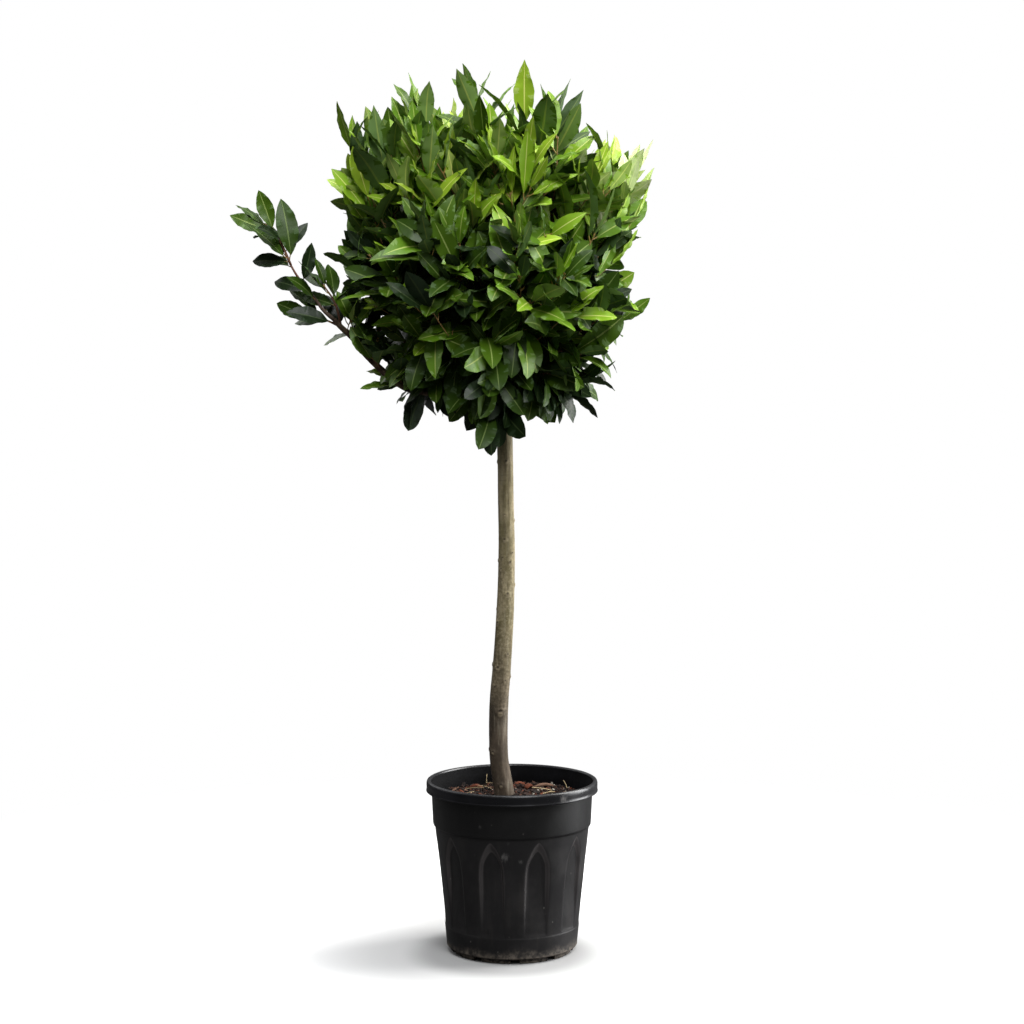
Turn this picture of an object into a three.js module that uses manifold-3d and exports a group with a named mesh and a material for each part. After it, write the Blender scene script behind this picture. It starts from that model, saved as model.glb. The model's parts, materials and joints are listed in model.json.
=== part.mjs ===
// A bay tree grown as a standard: a ball of foliage on one clear stem, in its
// black nursery pot. Millimetres, +Z up. The origin is the centre of the pot's
// underside, and the front of the plant faces -Y.
import * as THREE from 'three';
import { mergeVertices } from 'three/addons/utils/BufferGeometryUtils.js';
import Module from 'manifold-3d';

const wasm = await Module();
wasm.setup();

// ---- driving dimensions ------------------------------------------------
const POT = {
  height: 280, rim: 140, lipHeight: 18, mouth: 132,
  collarTop: 131.5, collarFoot: 129, collarZ: 208,
  wallTop: 126.2, wallFoot: 106.3, wallFootZ: 10,
  foot: 98.5, wallThick: 6.2, mouthThick: 3.2,
  disc: 54, channel: 8, channelIn: 58, channelOut: 88,
  facets: 40,
};
const ARCH = { count: 10, first: 20, width: 42, foot: 42, spring: 142, apex: 202, depth: 4.2 };
const NOTCH = { first: 2.8, width: 17, height: 6 };
const DRAIN = { count: 5, radius: 5.5, ring: 73 };
const SOIL = { level: 252, gap: 0.5, bump: 3.4, stem: 26 };
const TOUCH = 0.35;      // clearance between pieces that meet
const LEAF_GAP = 4;      // clearance between one mass of leaves and the next
const LIMB_CLEAR = 3;    // clearance round a limb that passes a mass
const HEART_TOP = 1120;  // the open heart of the crown reaches up to here

// stem: height above the ground level, sideways sway, radius
const STEM = {
  sides: 12,
  path: [
    [-11.0, 3, 252.6, 17.6], [-13.0, 3, 264, 16.4], [-17.8, 3, 287, 15.4], [-21.3, 2, 314, 15.1],
    [-22.3, 1, 350, 15.0], [-21.2, -1, 411, 15.3], [-17.2, -2, 460, 15.0], [-13.8, -3, 509, 14.6],
    [-10.8, -3, 575, 13.9], [-9.0, -2, 656, 13.2], [-10.2, 0, 737, 12.7], [-11.0, 2, 802, 12.3],
    [-12.2, 3, 850, 12.7], [-14.5, 4, 898, 12.4], [-18, 4, 950, 11.0], [-24, 3, 1010, 9.6],
    [-30, 2, 1070, 8.2], [-34, 0, 1120, 7.0], [-38, -12, 1184, 5.6],
  ],
  steps: 27,
};

// ---- small tools ---------------------------------------------------------
const V = (x, y, z) => new THREE.Vector3(x, y, z);

// A repeatable stream of numbers in 0..1.
function stream(seed) {
  let s = (seed * 2654435761) >>> 0;
  return () => {
    s = (s + 0x6d2b79f5) >>> 0;
    let t = s;
    t = Math.imul(t ^ (t >>> 15), t | 1);
    t ^= t + Math.imul(t ^ (t >>> 7), t | 61);
    return ((t ^ (t >>> 14)) >>> 0) / 4294967296;
  };
}

// Smooth unevenness over a direction or a place, about -1..1.
function waves(seed, count = 7, reach = 2.6) {
  const rnd = stream(seed);
  const set = [];
  for (let i = 0; i < count; i++) {
    set.push([V(rnd() - 0.5, rnd() - 0.5, rnd() - 0.5).normalize().multiplyScalar(reach * (0.6 + 1.1 * rnd())), rnd() * 6.283]);
  }
  return (p) => set.reduce((sum, [k, o]) => sum + Math.sin(k.dot(p) + o), 0) / Math.sqrt(count * 2);
}

function fold(geometry) {
  geometry.deleteAttribute('normal');
  geometry.deleteAttribute('uv');
  const merged = mergeVertices(geometry, 1e-4);
  // drop triangles that closed up, then make every face point out
  const at = merged.index.array, p = merged.attributes.position;
  const keep = [];
  for (let i = 0; i < at.length; i += 3) {
    const [a, b, c] = [at[i], at[i + 1], at[i + 2]];
    if (a !== b && b !== c && a !== c) keep.push(a, b, c);
  }
  let volume = 0;
  const A = V(), B = V(), C = V();
  for (let i = 0; i < keep.length; i += 3) {
    A.fromBufferAttribute(p, keep[i]); B.fromBufferAttribute(p, keep[i + 1]); C.fromBufferAttribute(p, keep[i + 2]);
    volume += A.dot(B.clone().cross(C)) / 6;
  }
  if (volume < 0) for (let i = 0; i < keep.length; i += 3) [keep[i + 1], keep[i + 2]] = [keep[i + 2], keep[i + 1]];
  merged.setIndex(keep);
  return merged;
}

function solid(geometry) {
  const g = fold(geometry);
  return new wasm.Manifold(new wasm.Mesh({
    numProp: 3,
    vertProperties: new Float32Array(g.attributes.position.array),
    triVerts: new Uint32Array(g.index.array),
  }));
}

function shapeOf(manifold) {
  const mesh = manifold.getMesh();
  const g = new THREE.BufferGeometry();
  const n = mesh.vertProperties.length / mesh.numProp;
  const at = new Float32Array(n * 3);
  for (let i = 0; i < n; i++) for (let k = 0; k < 3; k++) at[i * 3 + k] = mesh.vertProperties[i * mesh.numProp + k];
  g.setAttribute('position', new THREE.BufferAttribute(at, 3));
  g.setIndex(Array.from(mesh.triVerts));
  return g;
}

function turned(profile, facets) {
  const g = new THREE.LatheGeometry(profile.map(([r, z]) => new THREE.Vector2(r, z)), facets);
  g.rotateX(Math.PI / 2);
  return g;
}

// A round limb that tapers along a smooth path, with a flat cut at both ends.
function limb(path, sides, steps, extra = 0, level = false) {
  const curve = new THREE.CatmullRomCurve3(path.map(([x, y, z]) => V(x, y, z)), false, 'centripetal');
  const knots = path.length - 1;
  const radius = (t) => {
    const u = Math.min(t * knots, knots - 1e-6), i = Math.floor(u);
    return path[i][3] + (path[i + 1][3] - path[i][3]) * (u - i) + extra;
  };
  const at = [], index = [];
  let side = null;
  for (let s = 0; s <= steps; s++) {
    const t = s / steps, c = curve.getPoint(t), d = curve.getTangent(t);
    if (level && s === 0) d.set(0, 0, 1);
    if (!side) side = Math.abs(d.x) < 0.8 ? V(1, 0, 0) : V(0, 1, 0);
    side = side.clone().addScaledVector(d, -side.dot(d)).normalize();
    const other = d.clone().cross(side);
    for (let k = 0; k < sides; k++) {
      const a = (2 * Math.PI * k) / sides, r = radius(t);
      const q = c.clone().addScaledVector(side, r * Math.cos(a)).addScaledVector(other, r * Math.sin(a));
      at.push(q.x, q.y, q.z);
    }
  }
  for (let s = 0; s < steps; s++) {
    for (let k = 0; k < sides; k++) {
      const a = s * sides + k, b = s * sides + ((k + 1) % sides), c = a + sides, d = b + sides;
      index.push(a, b, d, a, d, c);
    }
  }
  for (let k = 1; k < sides - 1; k++) {
    index.push(0, k + 1, k);
    const e = steps * sides;
    index.push(e, e + k, e + k + 1);
  }
  const g = new THREE.BufferGeometry();
  g.setAttribute('position', new THREE.BufferAttribute(new Float32Array(at), 3));
  g.setIndex(index);
  return g;
}

// ---- pot -------------------------------------------------------------------
const wallAt = (z) => POT.wallFoot + (POT.wallTop - POT.wallFoot) * (z - POT.wallFootZ) / (POT.collarZ - 1.5 - POT.wallFootZ);

function potShell() {
  const inner = (z) => wallAt(z) - POT.wallThick;
  const floor = 2.6;
  const profile = [
    [0, 0], [POT.disc, 0], [POT.channelIn, POT.channel], [POT.channelOut, POT.channel], [POT.channelOut + 3, 0],
    [POT.foot, 0], [POT.wallFoot - 1.6, 6], [POT.wallFoot, POT.wallFootZ], [POT.wallTop, POT.collarZ - 1.5],
    [POT.collarFoot, POT.collarZ], [POT.collarTop, POT.height - POT.lipHeight],
    [POT.rim, POT.height - POT.lipHeight], [POT.rim, POT.height - 3], [POT.rim - 2.6, POT.height],
    [POT.mouth, POT.height], [POT.mouth - 3.4, POT.height - POT.lipHeight - 2],
    [POT.collarFoot - POT.mouthThick, POT.collarZ + 4], [inner(190), 190], [inner(22), 22],
    [POT.channelOut + 6, POT.channel + floor], [0, POT.channel + floor],
  ];
  return solid(turned(profile, POT.facets));
}

function lancet() {
  const half = ARCH.width / 2, s = new THREE.Shape();
  s.moveTo(-half, ARCH.foot);
  s.lineTo(half, ARCH.foot);
  s.lineTo(half, ARCH.spring);
  s.quadraticCurveTo(half * 0.86, ARCH.spring + (ARCH.apex - ARCH.spring) * 0.62, 0, ARCH.apex);
  s.quadraticCurveTo(-half * 0.86, ARCH.spring + (ARCH.apex - ARCH.spring) * 0.62, -half, ARCH.spring);
  return new THREE.ExtrudeGeometry(s, { depth: 30, bevelEnabled: false, curveSegments: 3 });
}

function makePot() {
  let pot = potShell();
  const lean = Math.atan((POT.wallTop - POT.wallFoot) / (POT.collarZ - 1.5 - POT.wallFootZ));
  const mid = (ARCH.foot + ARCH.apex) / 2;
  for (let i = 0; i < ARCH.count; i++) {
    // niche: lancet outline in x, z with its flat back ARCH.depth under the wall
    const g = lancet();
    g.translate(0, -mid, 0);
    g.rotateX(Math.PI / 2 + lean);
    g.translate(0, -(wallAt(mid) - ARCH.depth), mid);
    g.rotateZ(THREE.MathUtils.degToRad(ARCH.first + (360 / ARCH.count) * i));
    pot = pot.subtract(solid(g));
    const n = new THREE.BoxGeometry(NOTCH.width, 24, NOTCH.height * 2);
    n.translate(0, -100, 0);
    n.rotateZ(THREE.MathUtils.degToRad(NOTCH.first + (360 / ARCH.count) * i));
    pot = pot.subtract(solid(n));
  }
  for (let i = 0; i < DRAIN.count; i++) {
    const h = new THREE.CylinderGeometry(DRAIN.radius, DRAIN.radius, 14, 8);
    h.rotateX(Math.PI / 2);
    h.translate(0, -DRAIN.ring, POT.channel);
    h.rotateZ(THREE.MathUtils.degToRad(10 + (360 / DRAIN.count) * i));
    pot = pot.subtract(solid(h));
  }
  return pot;
}

// ---- potting mix -----------------------------------------------------------
function makeSoil() {
  const inner = (z) => wallAt(z) - POT.wallThick - SOIL.gap;
  const mouth = (z) => {
    const t = (z - (POT.collarZ + 4)) / (POT.height - POT.lipHeight - 2 - POT.collarZ - 4);
    return POT.collarFoot - POT.mouthThick + (POT.mouth - 3.4 - POT.collarFoot + POT.mouthThick) * t - SOIL.gap;
  };
  const floor = 2.6 + SOIL.gap;
  const rough = waves(11, 9, 0.11);
  const g = turned([
    [0, POT.channel + floor], [POT.channelOut + 5.4, POT.channel + floor], [inner(22.6), 22.6], [inner(190), 190], [mouth(POT.collarZ + 4), POT.collarZ + 4], [mouth(SOIL.level - 2) , SOIL.level - 2],
    [105, SOIL.level], [79, SOIL.level], [52, SOIL.level], [SOIL.stem, SOIL.level], [0, SOIL.level],
  ], 24);
  const p = g.attributes.position;
  for (let i = 0; i < p.count; i++) {
    const x = p.getX(i), y = p.getY(i), r = Math.hypot(x, y);
    if (p.getZ(i) > SOIL.level - 1 && r > SOIL.stem + 8) {
      p.setZ(i, SOIL.level + SOIL.bump * rough(V(x, y, 0)));
    }
  }
  // the flat patch lies under the stem, which stands off centre
  for (let i = 0; i < p.count; i++) {
    const r = Math.hypot(p.getX(i), p.getY(i)), share = Math.max(0, 1 - r / 115);
    if (p.getZ(i) > SOIL.level - 8) { p.setX(i, p.getX(i) + STEM.path[0][0] * share); p.setY(i, p.getY(i) + STEM.path[0][1] * share); }
  }
  return solid(g);
}

// ---- stem and boughs --------------------------------------------------------
const stem = solid(limb(STEM.path, STEM.sides, STEM.steps, 0, true));
const stemRoom = solid(limb(STEM.path, STEM.sides, STEM.steps, TOUCH, true));
const stemCurve = new THREE.CatmullRomCurve3(STEM.path.map(([x, y, z]) => V(x, y, z)), false, 'centripetal');

function stemAt(z) {
  let best = null, d = Infinity;
  for (let i = 0; i <= 400; i++) {
    const q = stemCurve.getPoint(i / 400);
    if (Math.abs(q.z - z) < d) { d = Math.abs(q.z - z); best = q; }
  }
  return best;
}

// ---- masses of leaves --------------------------------------------------------
// name: centre, half sizes, distance kept from the stem's axis, the height on
// the stem where its bough leaves, and the bough's radius there.
const MASS = {
  top_left: { at: [-163, -50, 1290], half: [76, 96, 114], core: 78, from: 1014, r: 6.2 },
  top_middle: { at: [-46, -52, 1300], half: [78, 96, 124], core: 4, from: null },
  top_right: { at: [72, -48, 1288], half: [80, 96, 112], core: 80, from: 1022, r: 6.0 },
  upper_left: { at: [-236, 6, 1262], half: [50, 100, 104], core: 0, from: null },
  upper_right: { at: [168, -4, 1238], half: [54, 102, 98], core: 0, from: null },
  top_back_left: { at: [-118, 98, 1282], half: [100, 90, 110], core: 84, from: 1040, r: 5.6 },
  top_back_right: { at: [48, 96, 1278], half: [102, 92, 108], core: 84, from: 1055, r: 5.6 },
  mid_left: { at: [-198, -34, 1098], half: [84, 100, 96], core: 62, from: 944, r: 6.6 },
  mid_front_left: { at: [-112, -144, 1120], half: [94, 88, 106], core: 60, from: 972, r: 6.2 },
  mid_front_right: { at: [26, -148, 1112], half: [96, 88, 106], core: 60, from: 952, r: 6.4 },
  mid_right: { at: [116, -34, 1086], half: [78, 104, 98], core: 60, from: 916, r: 6.6 },
  mid_back_left: { at: [-136, 126, 1106], half: [108, 102, 108], core: 62, from: 962, r: 6.2 },
  mid_back_right: { at: [60, 128, 1100], half: [104, 102, 108], core: 62, from: 986, r: 6.2 },
  low_left: { at: [-150, -34, 974], half: [80, 88, 80], core: 46, from: 892, r: 6.0 },
  low_front: { at: [-36, -104, 950], half: [92, 78, 86], core: 44, from: 874, r: 5.8 },
  low_right: { at: [82, -40, 956], half: [82, 88, 82], core: 46, from: 881, r: 6.2 },
  low_back: { at: [-32, 104, 958], half: [114, 84, 84], core: 46, from: 868, r: 6.0 },
  far_left_low: { at: [-316, -22, 1064], half: [44, 34, 56], core: 0, from: null },
  far_left_high: { at: [-368, -22, 1160], half: [54, 30, 52], core: 0, from: null },
};
// the furthest shoots, which set the crown's outline: over the top, down the
// right, along the underside, up the left, then the near and far sides
const FURTHEST = [
  [-281, -10, 1376], [-161, -60, 1415], [-73, -70, 1429], [19, -60, 1435], [92, -55, 1406], [184, -15, 1334], [226, 5, 1318],
  [223, -20, 1061], [125, -40, 914], [-34, -112, 816], [-168, -40, 851], [-284, -40, 1050], [-287, 0, 1244],
  [-451, -20, 1196], [-334, -22, 1017], [30, -240, 1170], [-50, 236, 1140],
];
const SHOOTS = 16;          // other leading shoots tried round each mass
const SHOOT_REACH = 1.06;   // how far they stand out of it, in half sizes
const SHOOT_GAP = 42;       // and the least distance between two of them

const names = Object.keys(MASS);
for (const n of names) {
  const m = MASS[n];
  m.centre = V(...m.at);
  m.mean = Math.cbrt(m.half[0] * m.half[1] * m.half[2]);
  m.planes = [];
}
// the flat between two neighbours, half a leaf gap off each
for (const a of names) {
  for (const b of names) {
    if (a === b) continue;
    const A = MASS[a], B = MASS[b], d = B.centre.clone().sub(A.centre), len = d.length();
    if (len > (A.mean + B.mean) * 1.9) continue;
    d.normalize();
    const cut = (B.centre.lengthSq() - A.centre.lengthSq() + A.mean ** 2 - B.mean ** 2) / (2 * len);
    A.planes.push([d, cut - LEAF_GAP / 2]);
  }
}
// the open heart of the crown, round the stem
for (const n of names) {
  const m = MASS[n];
  if (!m.core) continue;
  const near = stemAt(n === 'top_middle' ? 1184 : Math.min(m.centre.z, HEART_TOP));
  const d = near.clone().sub(m.centre).normalize();
  m.inward = d;
  m.foot = m.centre.clone().addScaledVector(d, near.clone().sub(m.centre).length() - m.core);
  m.planes.push([d, m.foot.dot(d)]);
}
// the other leading shoots stand round each mass, a golden turn apart, where
// no neighbour covers them
const tips = FURTHEST.map((t) => V(...t));
const low = V(-452, -236, 820), high = V(222, 232, 1428);
for (const n of names) {
  const m = MASS[n];
  for (let i = 0; i < SHOOTS; i++) {
    const rise = 1 - (2 * i + 1) / SHOOTS, flat = Math.sqrt(1 - rise * rise), turn = i * 2.39996 + m.mean;
    const tip = V(flat * Math.cos(turn), flat * Math.sin(turn), rise).multiply(V(...m.half)).multiplyScalar(SHOOT_REACH).add(m.centre);
    const covered = names.some((o) => o !== n && tip.clone().sub(MASS[o].centre).divide(V(...MASS[o].half)).length() < 1.08);
    if (covered || tips.some((t) => t.distanceTo(tip) < SHOOT_GAP)) continue;
    if (tip.clone().clamp(low, high).distanceTo(tip) > 0) continue;
    tips.push(tip);
  }
}
for (const tip of tips) {
  let best = null, d = Infinity;
  for (const n of names) {
    const m = MASS[n], power = tip.distanceToSquared(m.centre) - m.mean ** 2;
    if (power < d) { d = power; best = m; }
  }
  (best.tips ??= []).push(tip);
}

function makeMass(name, seed) {
  const m = MASS[name];
  const detail = /^top_(left|middle|right)|^upper|^mid_(left|right)/.test(name) ? 3 : 2;
  const g = fold(new THREE.IcosahedronGeometry(1, detail));
  const p = g.attributes.position, bump = waves(seed, 8, 3.4), rnd = stream(seed * 7 + 1);
  const used = new Set();
  const at = [];
  for (let i = 0; i < p.count; i++) {
    const d = V(p.getX(i), p.getY(i), p.getZ(i)).normalize();
    const r = 1 / Math.sqrt((d.x / m.half[0]) ** 2 + (d.y / m.half[1]) ** 2 + (d.z / m.half[2]) ** 2);
    at.push(d.clone().multiplyScalar(r * (0.95 + 0.09 * bump(d) + 0.09 * (rnd() - 0.5))));
  }
  for (const tip of m.tips ?? []) {
    const d = tip.clone().sub(m.centre), dir = d.clone().normalize();
    let best = -1, dot = -1;
    for (let i = 0; i < at.length; i++) {
      if (used.has(i)) continue;
      const c = at[i].clone().normalize().dot(dir);
      if (c > dot) { dot = c; best = i; }
    }
    used.add(best);
    at[best] = d;
  }
  for (let i = 0; i < at.length; i++) {
    const d = at[i].clone().normalize();
    let r = at[i].length();
    for (const [n, cut] of m.planes) {
      const slope = n.dot(d);
      if (slope > 1e-6) r = Math.min(r, (cut - n.dot(m.centre)) / slope);
    }
    const q = m.centre.clone().addScaledVector(d, r);
    p.setXYZ(i, q.x, q.y, q.z);
  }
  return solid(g);
}

// ---- boughs ------------------------------------------------------------------
// Each leaves the stem, lifts and levels out, and ends at the flat inner face
// of the mass that it carries.
const boughs = {};
for (const n of names) {
  const m = MASS[n];
  if (!m.from) continue;
  const root = stemAt(m.from);
  const end = m.foot.clone().addScaledVector(m.inward, 1.2);
  const out = m.inward.clone().negate();
  const flat = V(out.x, out.y, 0).normalize();
  const a = root.clone().addScaledVector(flat, 16).add(V(0, 0, 15));
  const b = end.clone().addScaledVector(m.inward, 10);
  boughs[`bough_${n}`] = [
    [root.x, root.y, root.z, m.r * 1.15], [a.x, a.y, a.z, m.r], [b.x, b.y, b.z, m.r * 0.86], [end.x, end.y, end.z, m.r * 0.8],
  ];
}
// the long low limb out to the far left, split where it turns up
const LONG = [
  [-13.5, 4, 872, 7.2], [-34, -4, 884, 6.6], [-90, -26, 904, 6.0], [-167, -40, 919, 5.6], [-192, -41, 934, 5.4], [-216, -40, 955, 5.2],
];
const LONG_UP = [[-217, -39.9, 956, 5.1], [-243, -36, 983, 4.8], [-254, -33, 998, 4.6], [-273, -29, 1016, 4.4], [-284, -26.5, 1027.5, 4.2]];

const pieces = {};
pieces.pot = makePot();
pieces.potting_mix = makeSoil();
pieces.stem = stem;
const limbRooms = [];
for (const [n, path] of Object.entries(boughs)) {
  pieces[n] = solid(limb(path, 6, 4)).subtract(stemRoom);
}
pieces.bough_far_left = solid(limb(LONG, 7, 9)).subtract(stemRoom);
pieces.bough_far_left_rise = solid(limb(LONG_UP, 7, 4)).subtract(solid(limb(LONG, 7, 9, TOUCH)));
limbRooms.push(solid(limb(LONG, 7, 9, LIMB_CLEAR)), solid(limb(LONG_UP, 7, 4, LIMB_CLEAR)));

let seed = 3;
for (const n of names) {
  let mass = makeMass(n, seed++);
  if (['low_left', 'low_front', 'mid_left'].includes(n)) for (const room of limbRooms) mass = mass.subtract(room);
  if (n === 'far_left_low') mass = mass.subtract(solid(limb(LONG_UP, 7, 4, TOUCH)));
  pieces[`leaves_${n}`] = mass;
}

// ---- the assembled plant --------------------------------------------------------
const looks = {
  pot: new THREE.MeshStandardMaterial({ color: 0x232223, roughness: 0.5, metalness: 0 }),
  potting_mix: new THREE.MeshStandardMaterial({ color: 0x3a2a22, roughness: 0.95, metalness: 0 }),
  bark: new THREE.MeshStandardMaterial({ color: 0x6f6650, roughness: 0.8, metalness: 0 }),
  leaves: new THREE.MeshStandardMaterial({ color: 0x35521c, roughness: 0.45, metalness: 0 }),
};
const group = new THREE.Group();
const plant = new THREE.Group();
group.add(plant);
for (const [name, manifold] of Object.entries(pieces)) {
  const kind = name === 'pot' || name === 'potting_mix' ? name : name.startsWith('leaves') ? 'leaves' : 'bark';
  const mesh = new THREE.Mesh(shapeOf(manifold), looks[kind]);
  mesh.name = name;
  (kind === 'bark' || kind === 'leaves' ? plant : group).add(mesh);
}

export default group;
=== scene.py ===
"""Looks of the bay standard in its nursery pot: bark, twigs, leaves, compost and moulded pot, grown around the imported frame."""

import json
import math

import bpy
import numpy as np
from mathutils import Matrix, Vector

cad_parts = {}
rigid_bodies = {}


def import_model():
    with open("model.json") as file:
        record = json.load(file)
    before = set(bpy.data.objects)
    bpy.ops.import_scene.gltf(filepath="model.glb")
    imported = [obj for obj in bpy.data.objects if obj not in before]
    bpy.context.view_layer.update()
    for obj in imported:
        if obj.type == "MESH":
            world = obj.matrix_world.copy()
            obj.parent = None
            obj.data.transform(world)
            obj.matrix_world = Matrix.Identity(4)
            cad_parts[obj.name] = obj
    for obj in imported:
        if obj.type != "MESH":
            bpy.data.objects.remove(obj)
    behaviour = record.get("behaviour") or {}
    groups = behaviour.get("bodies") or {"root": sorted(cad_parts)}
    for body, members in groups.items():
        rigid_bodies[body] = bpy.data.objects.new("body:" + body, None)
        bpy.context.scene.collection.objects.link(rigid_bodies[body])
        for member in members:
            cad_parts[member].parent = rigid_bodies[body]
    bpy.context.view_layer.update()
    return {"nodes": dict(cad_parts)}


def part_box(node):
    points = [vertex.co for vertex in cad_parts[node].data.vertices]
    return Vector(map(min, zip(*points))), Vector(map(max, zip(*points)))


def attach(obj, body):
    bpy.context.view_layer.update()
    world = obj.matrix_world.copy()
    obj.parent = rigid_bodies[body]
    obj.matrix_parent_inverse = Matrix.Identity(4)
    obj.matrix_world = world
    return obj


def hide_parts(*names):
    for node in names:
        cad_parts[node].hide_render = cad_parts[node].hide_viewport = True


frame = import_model()

MM = 0.001
GOLDEN = math.radians(137.508)


# ---------------------------------------------------------------- small tools
def lin(r, g, b):
    """An sRGB colour in 0..255 as linear RGBA."""
    out = []
    for c in (r, g, b):
        c = c / 255.0
        out.append(c / 12.92 if c <= 0.04045 else ((c + 0.055) / 1.055) ** 2.4)
    return (*out, 1.0)


def unit(v):
    v = np.asarray(v, float)
    return v / np.maximum(np.linalg.norm(v, axis=-1, keepdims=True), 1e-12)


def smooth(a, b, x):
    t = np.clip((np.asarray(x, float) - a) / (b - a), 0, 1)
    return t * t * (3 - 2 * t)


def wave_field(seed, count, reach, dims=3):
    """Smooth unevenness over a place, about -1..1."""
    r = np.random.default_rng(seed)
    k = unit(r.normal(size=(count, dims))) * reach * (0.6 + 1.1 * r.random((count, 1)))
    o = r.random(count) * 6.283
    return lambda p: np.sin(np.asarray(p, float) @ k.T + o).sum(-1) / math.sqrt(count * 2)


def mesh_of(name, co, quads=(), tris=(), mats=(), index=None, flat=False, sharp=None):
    """One object from arrays: index gives each face's material, quads first."""
    co = np.asarray(co, np.float32).reshape(-1, 3)
    quads = np.asarray(quads, np.int32).reshape(-1, 4)
    tris = np.asarray(tris, np.int32).reshape(-1, 3)
    me = bpy.data.meshes.new(name)
    me.vertices.add(len(co))
    me.vertices.foreach_set("co", co.ravel())
    loops = np.concatenate([quads.ravel(), tris.ravel()]).astype(np.int32)
    me.loops.add(len(loops))
    me.loops.foreach_set("vertex_index", loops)
    starts = np.concatenate(
        [np.arange(len(quads)) * 4, len(quads) * 4 + np.arange(len(tris)) * 3]
    ).astype(np.int32)
    me.polygons.add(len(starts))
    me.polygons.foreach_set("loop_start", starts)
    me.polygons.foreach_set("use_smooth", np.full(len(starts), not flat))
    for m in mats:
        me.materials.append(m)
    if index is not None:
        me.polygons.foreach_set("material_index", np.asarray(index, np.int32))
    me.update(calc_edges=True)
    me.validate()
    if sharp is not None:
        me.set_sharp_from_angle(angle=math.radians(sharp))
    ob = bpy.data.objects.new(name, me)
    bpy.context.scene.collection.objects.link(ob)
    return ob


class Soup:
    """Collects pieces of one kind into one mesh."""

    def __init__(self):
        self.co, self.q, self.t, self.qi, self.ti, self.n = [], [], [], [], [], 0

    def add(self, co, quads=(), tris=(), mat=0):
        co = np.asarray(co, float).reshape(-1, 3)
        quads = np.asarray(quads, int).reshape(-1, 4)
        tris = np.asarray(tris, int).reshape(-1, 3)
        self.co.append(co)
        self.q.append(quads + self.n)
        self.t.append(tris + self.n)
        self.qi.append(np.broadcast_to(np.asarray(mat if np.ndim(mat) else [mat] * len(quads), int), (len(quads),)) if len(quads) else np.zeros(0, int))
        self.ti.append(np.full(len(tris), mat if not np.ndim(mat) else 0, int))
        self.n += len(co)

    def build(self, name, mats, flat=False, sharp=None):
        q, t = np.concatenate(self.q), np.concatenate(self.t)
        return mesh_of(name, np.concatenate(self.co), q, t, mats, np.concatenate([np.concatenate(self.qi), np.concatenate(self.ti)]), flat, sharp)


# ---------------------------------------------------------------- materials
def principled(name, colour=(0.5, 0.5, 0.5, 1), rough=0.5, **more):
    m = bpy.data.materials.new(name)
    m.use_nodes = True
    p = m.node_tree.nodes["Principled BSDF"]
    p.inputs["Base Color"].default_value = colour
    p.inputs["Roughness"].default_value = rough
    for key, value in more.items():
        p.inputs[key.replace("_", " ")].default_value = value
    return m, m.node_tree, p


class Net:
    """Short names for the nodes of one material."""

    def __init__(self, tree):
        self.t = tree

    def new(self, kind, **props):
        n = self.t.nodes.new(kind)
        for k, v in props.items():
            setattr(n, k, v)
        return n

    def put(self, socket, value):
        if isinstance(value, (int, float, tuple, list)):
            socket.default_value = value
        else:
            self.t.links.new(value, socket)

    def object(self):
        return self.new("ShaderNodeTexCoord").outputs["Object"]

    def split(self, v):
        n = self.new("ShaderNodeSeparateXYZ")
        self.put(n.inputs[0], v)
        return n.outputs

    def scaled(self, v, scale, move=(0, 0, 0)):
        n = self.new("ShaderNodeMapping")
        self.put(n.inputs["Vector"], v)
        n.inputs["Scale"].default_value = scale
        n.inputs["Location"].default_value = move
        return n.outputs[0]

    def noise(self, v, scale, detail=3, rough=0.5, warp=0.0):
        n = self.new("ShaderNodeTexNoise")
        self.put(n.inputs["Vector"], v)
        n.inputs["Scale"].default_value = scale
        n.inputs["Detail"].default_value = detail
        n.inputs["Roughness"].default_value = rough
        n.inputs["Distortion"].default_value = warp
        return n.outputs["Fac"]

    def cells(self, v, scale, out="Distance", feature="F1"):
        n = self.new("ShaderNodeTexVoronoi", feature=feature)
        self.put(n.inputs["Vector"], v)
        n.inputs["Scale"].default_value = scale
        return n.outputs[out]

    def math(self, op, a, b=0.0, clamp=False):
        n = self.new("ShaderNodeMath", operation=op, use_clamp=clamp)
        self.put(n.inputs[0], a)
        self.put(n.inputs[1], b)
        return n.outputs[0]

    def span(self, v, a, b, lo=0.0, hi=1.0, soft=True):
        n = self.new("ShaderNodeMapRange", interpolation_type="SMOOTHSTEP" if soft else "LINEAR")
        self.put(n.inputs["Value"], v)
        for key, val in (("From Min", a), ("From Max", b), ("To Min", lo), ("To Max", hi)):
            n.inputs[key].default_value = val
        return n.outputs[0]

    def mix(self, fac, a, b, kind="MIX"):
        n = self.new("ShaderNodeMix", data_type="RGBA", blend_type=kind)
        self.put(n.inputs[0], fac)
        self.put(n.inputs[6], a)
        self.put(n.inputs[7], b)
        return n.outputs[2]

    def bump(self, height, strength, distance, normal=None):
        n = self.new("ShaderNodeBump")
        n.inputs["Strength"].default_value = strength
        n.inputs["Distance"].default_value = distance
        self.put(n.inputs["Height"], height)
        if normal is not None:
            self.put(n.inputs["Normal"], normal)
        return n.outputs[0]


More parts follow.
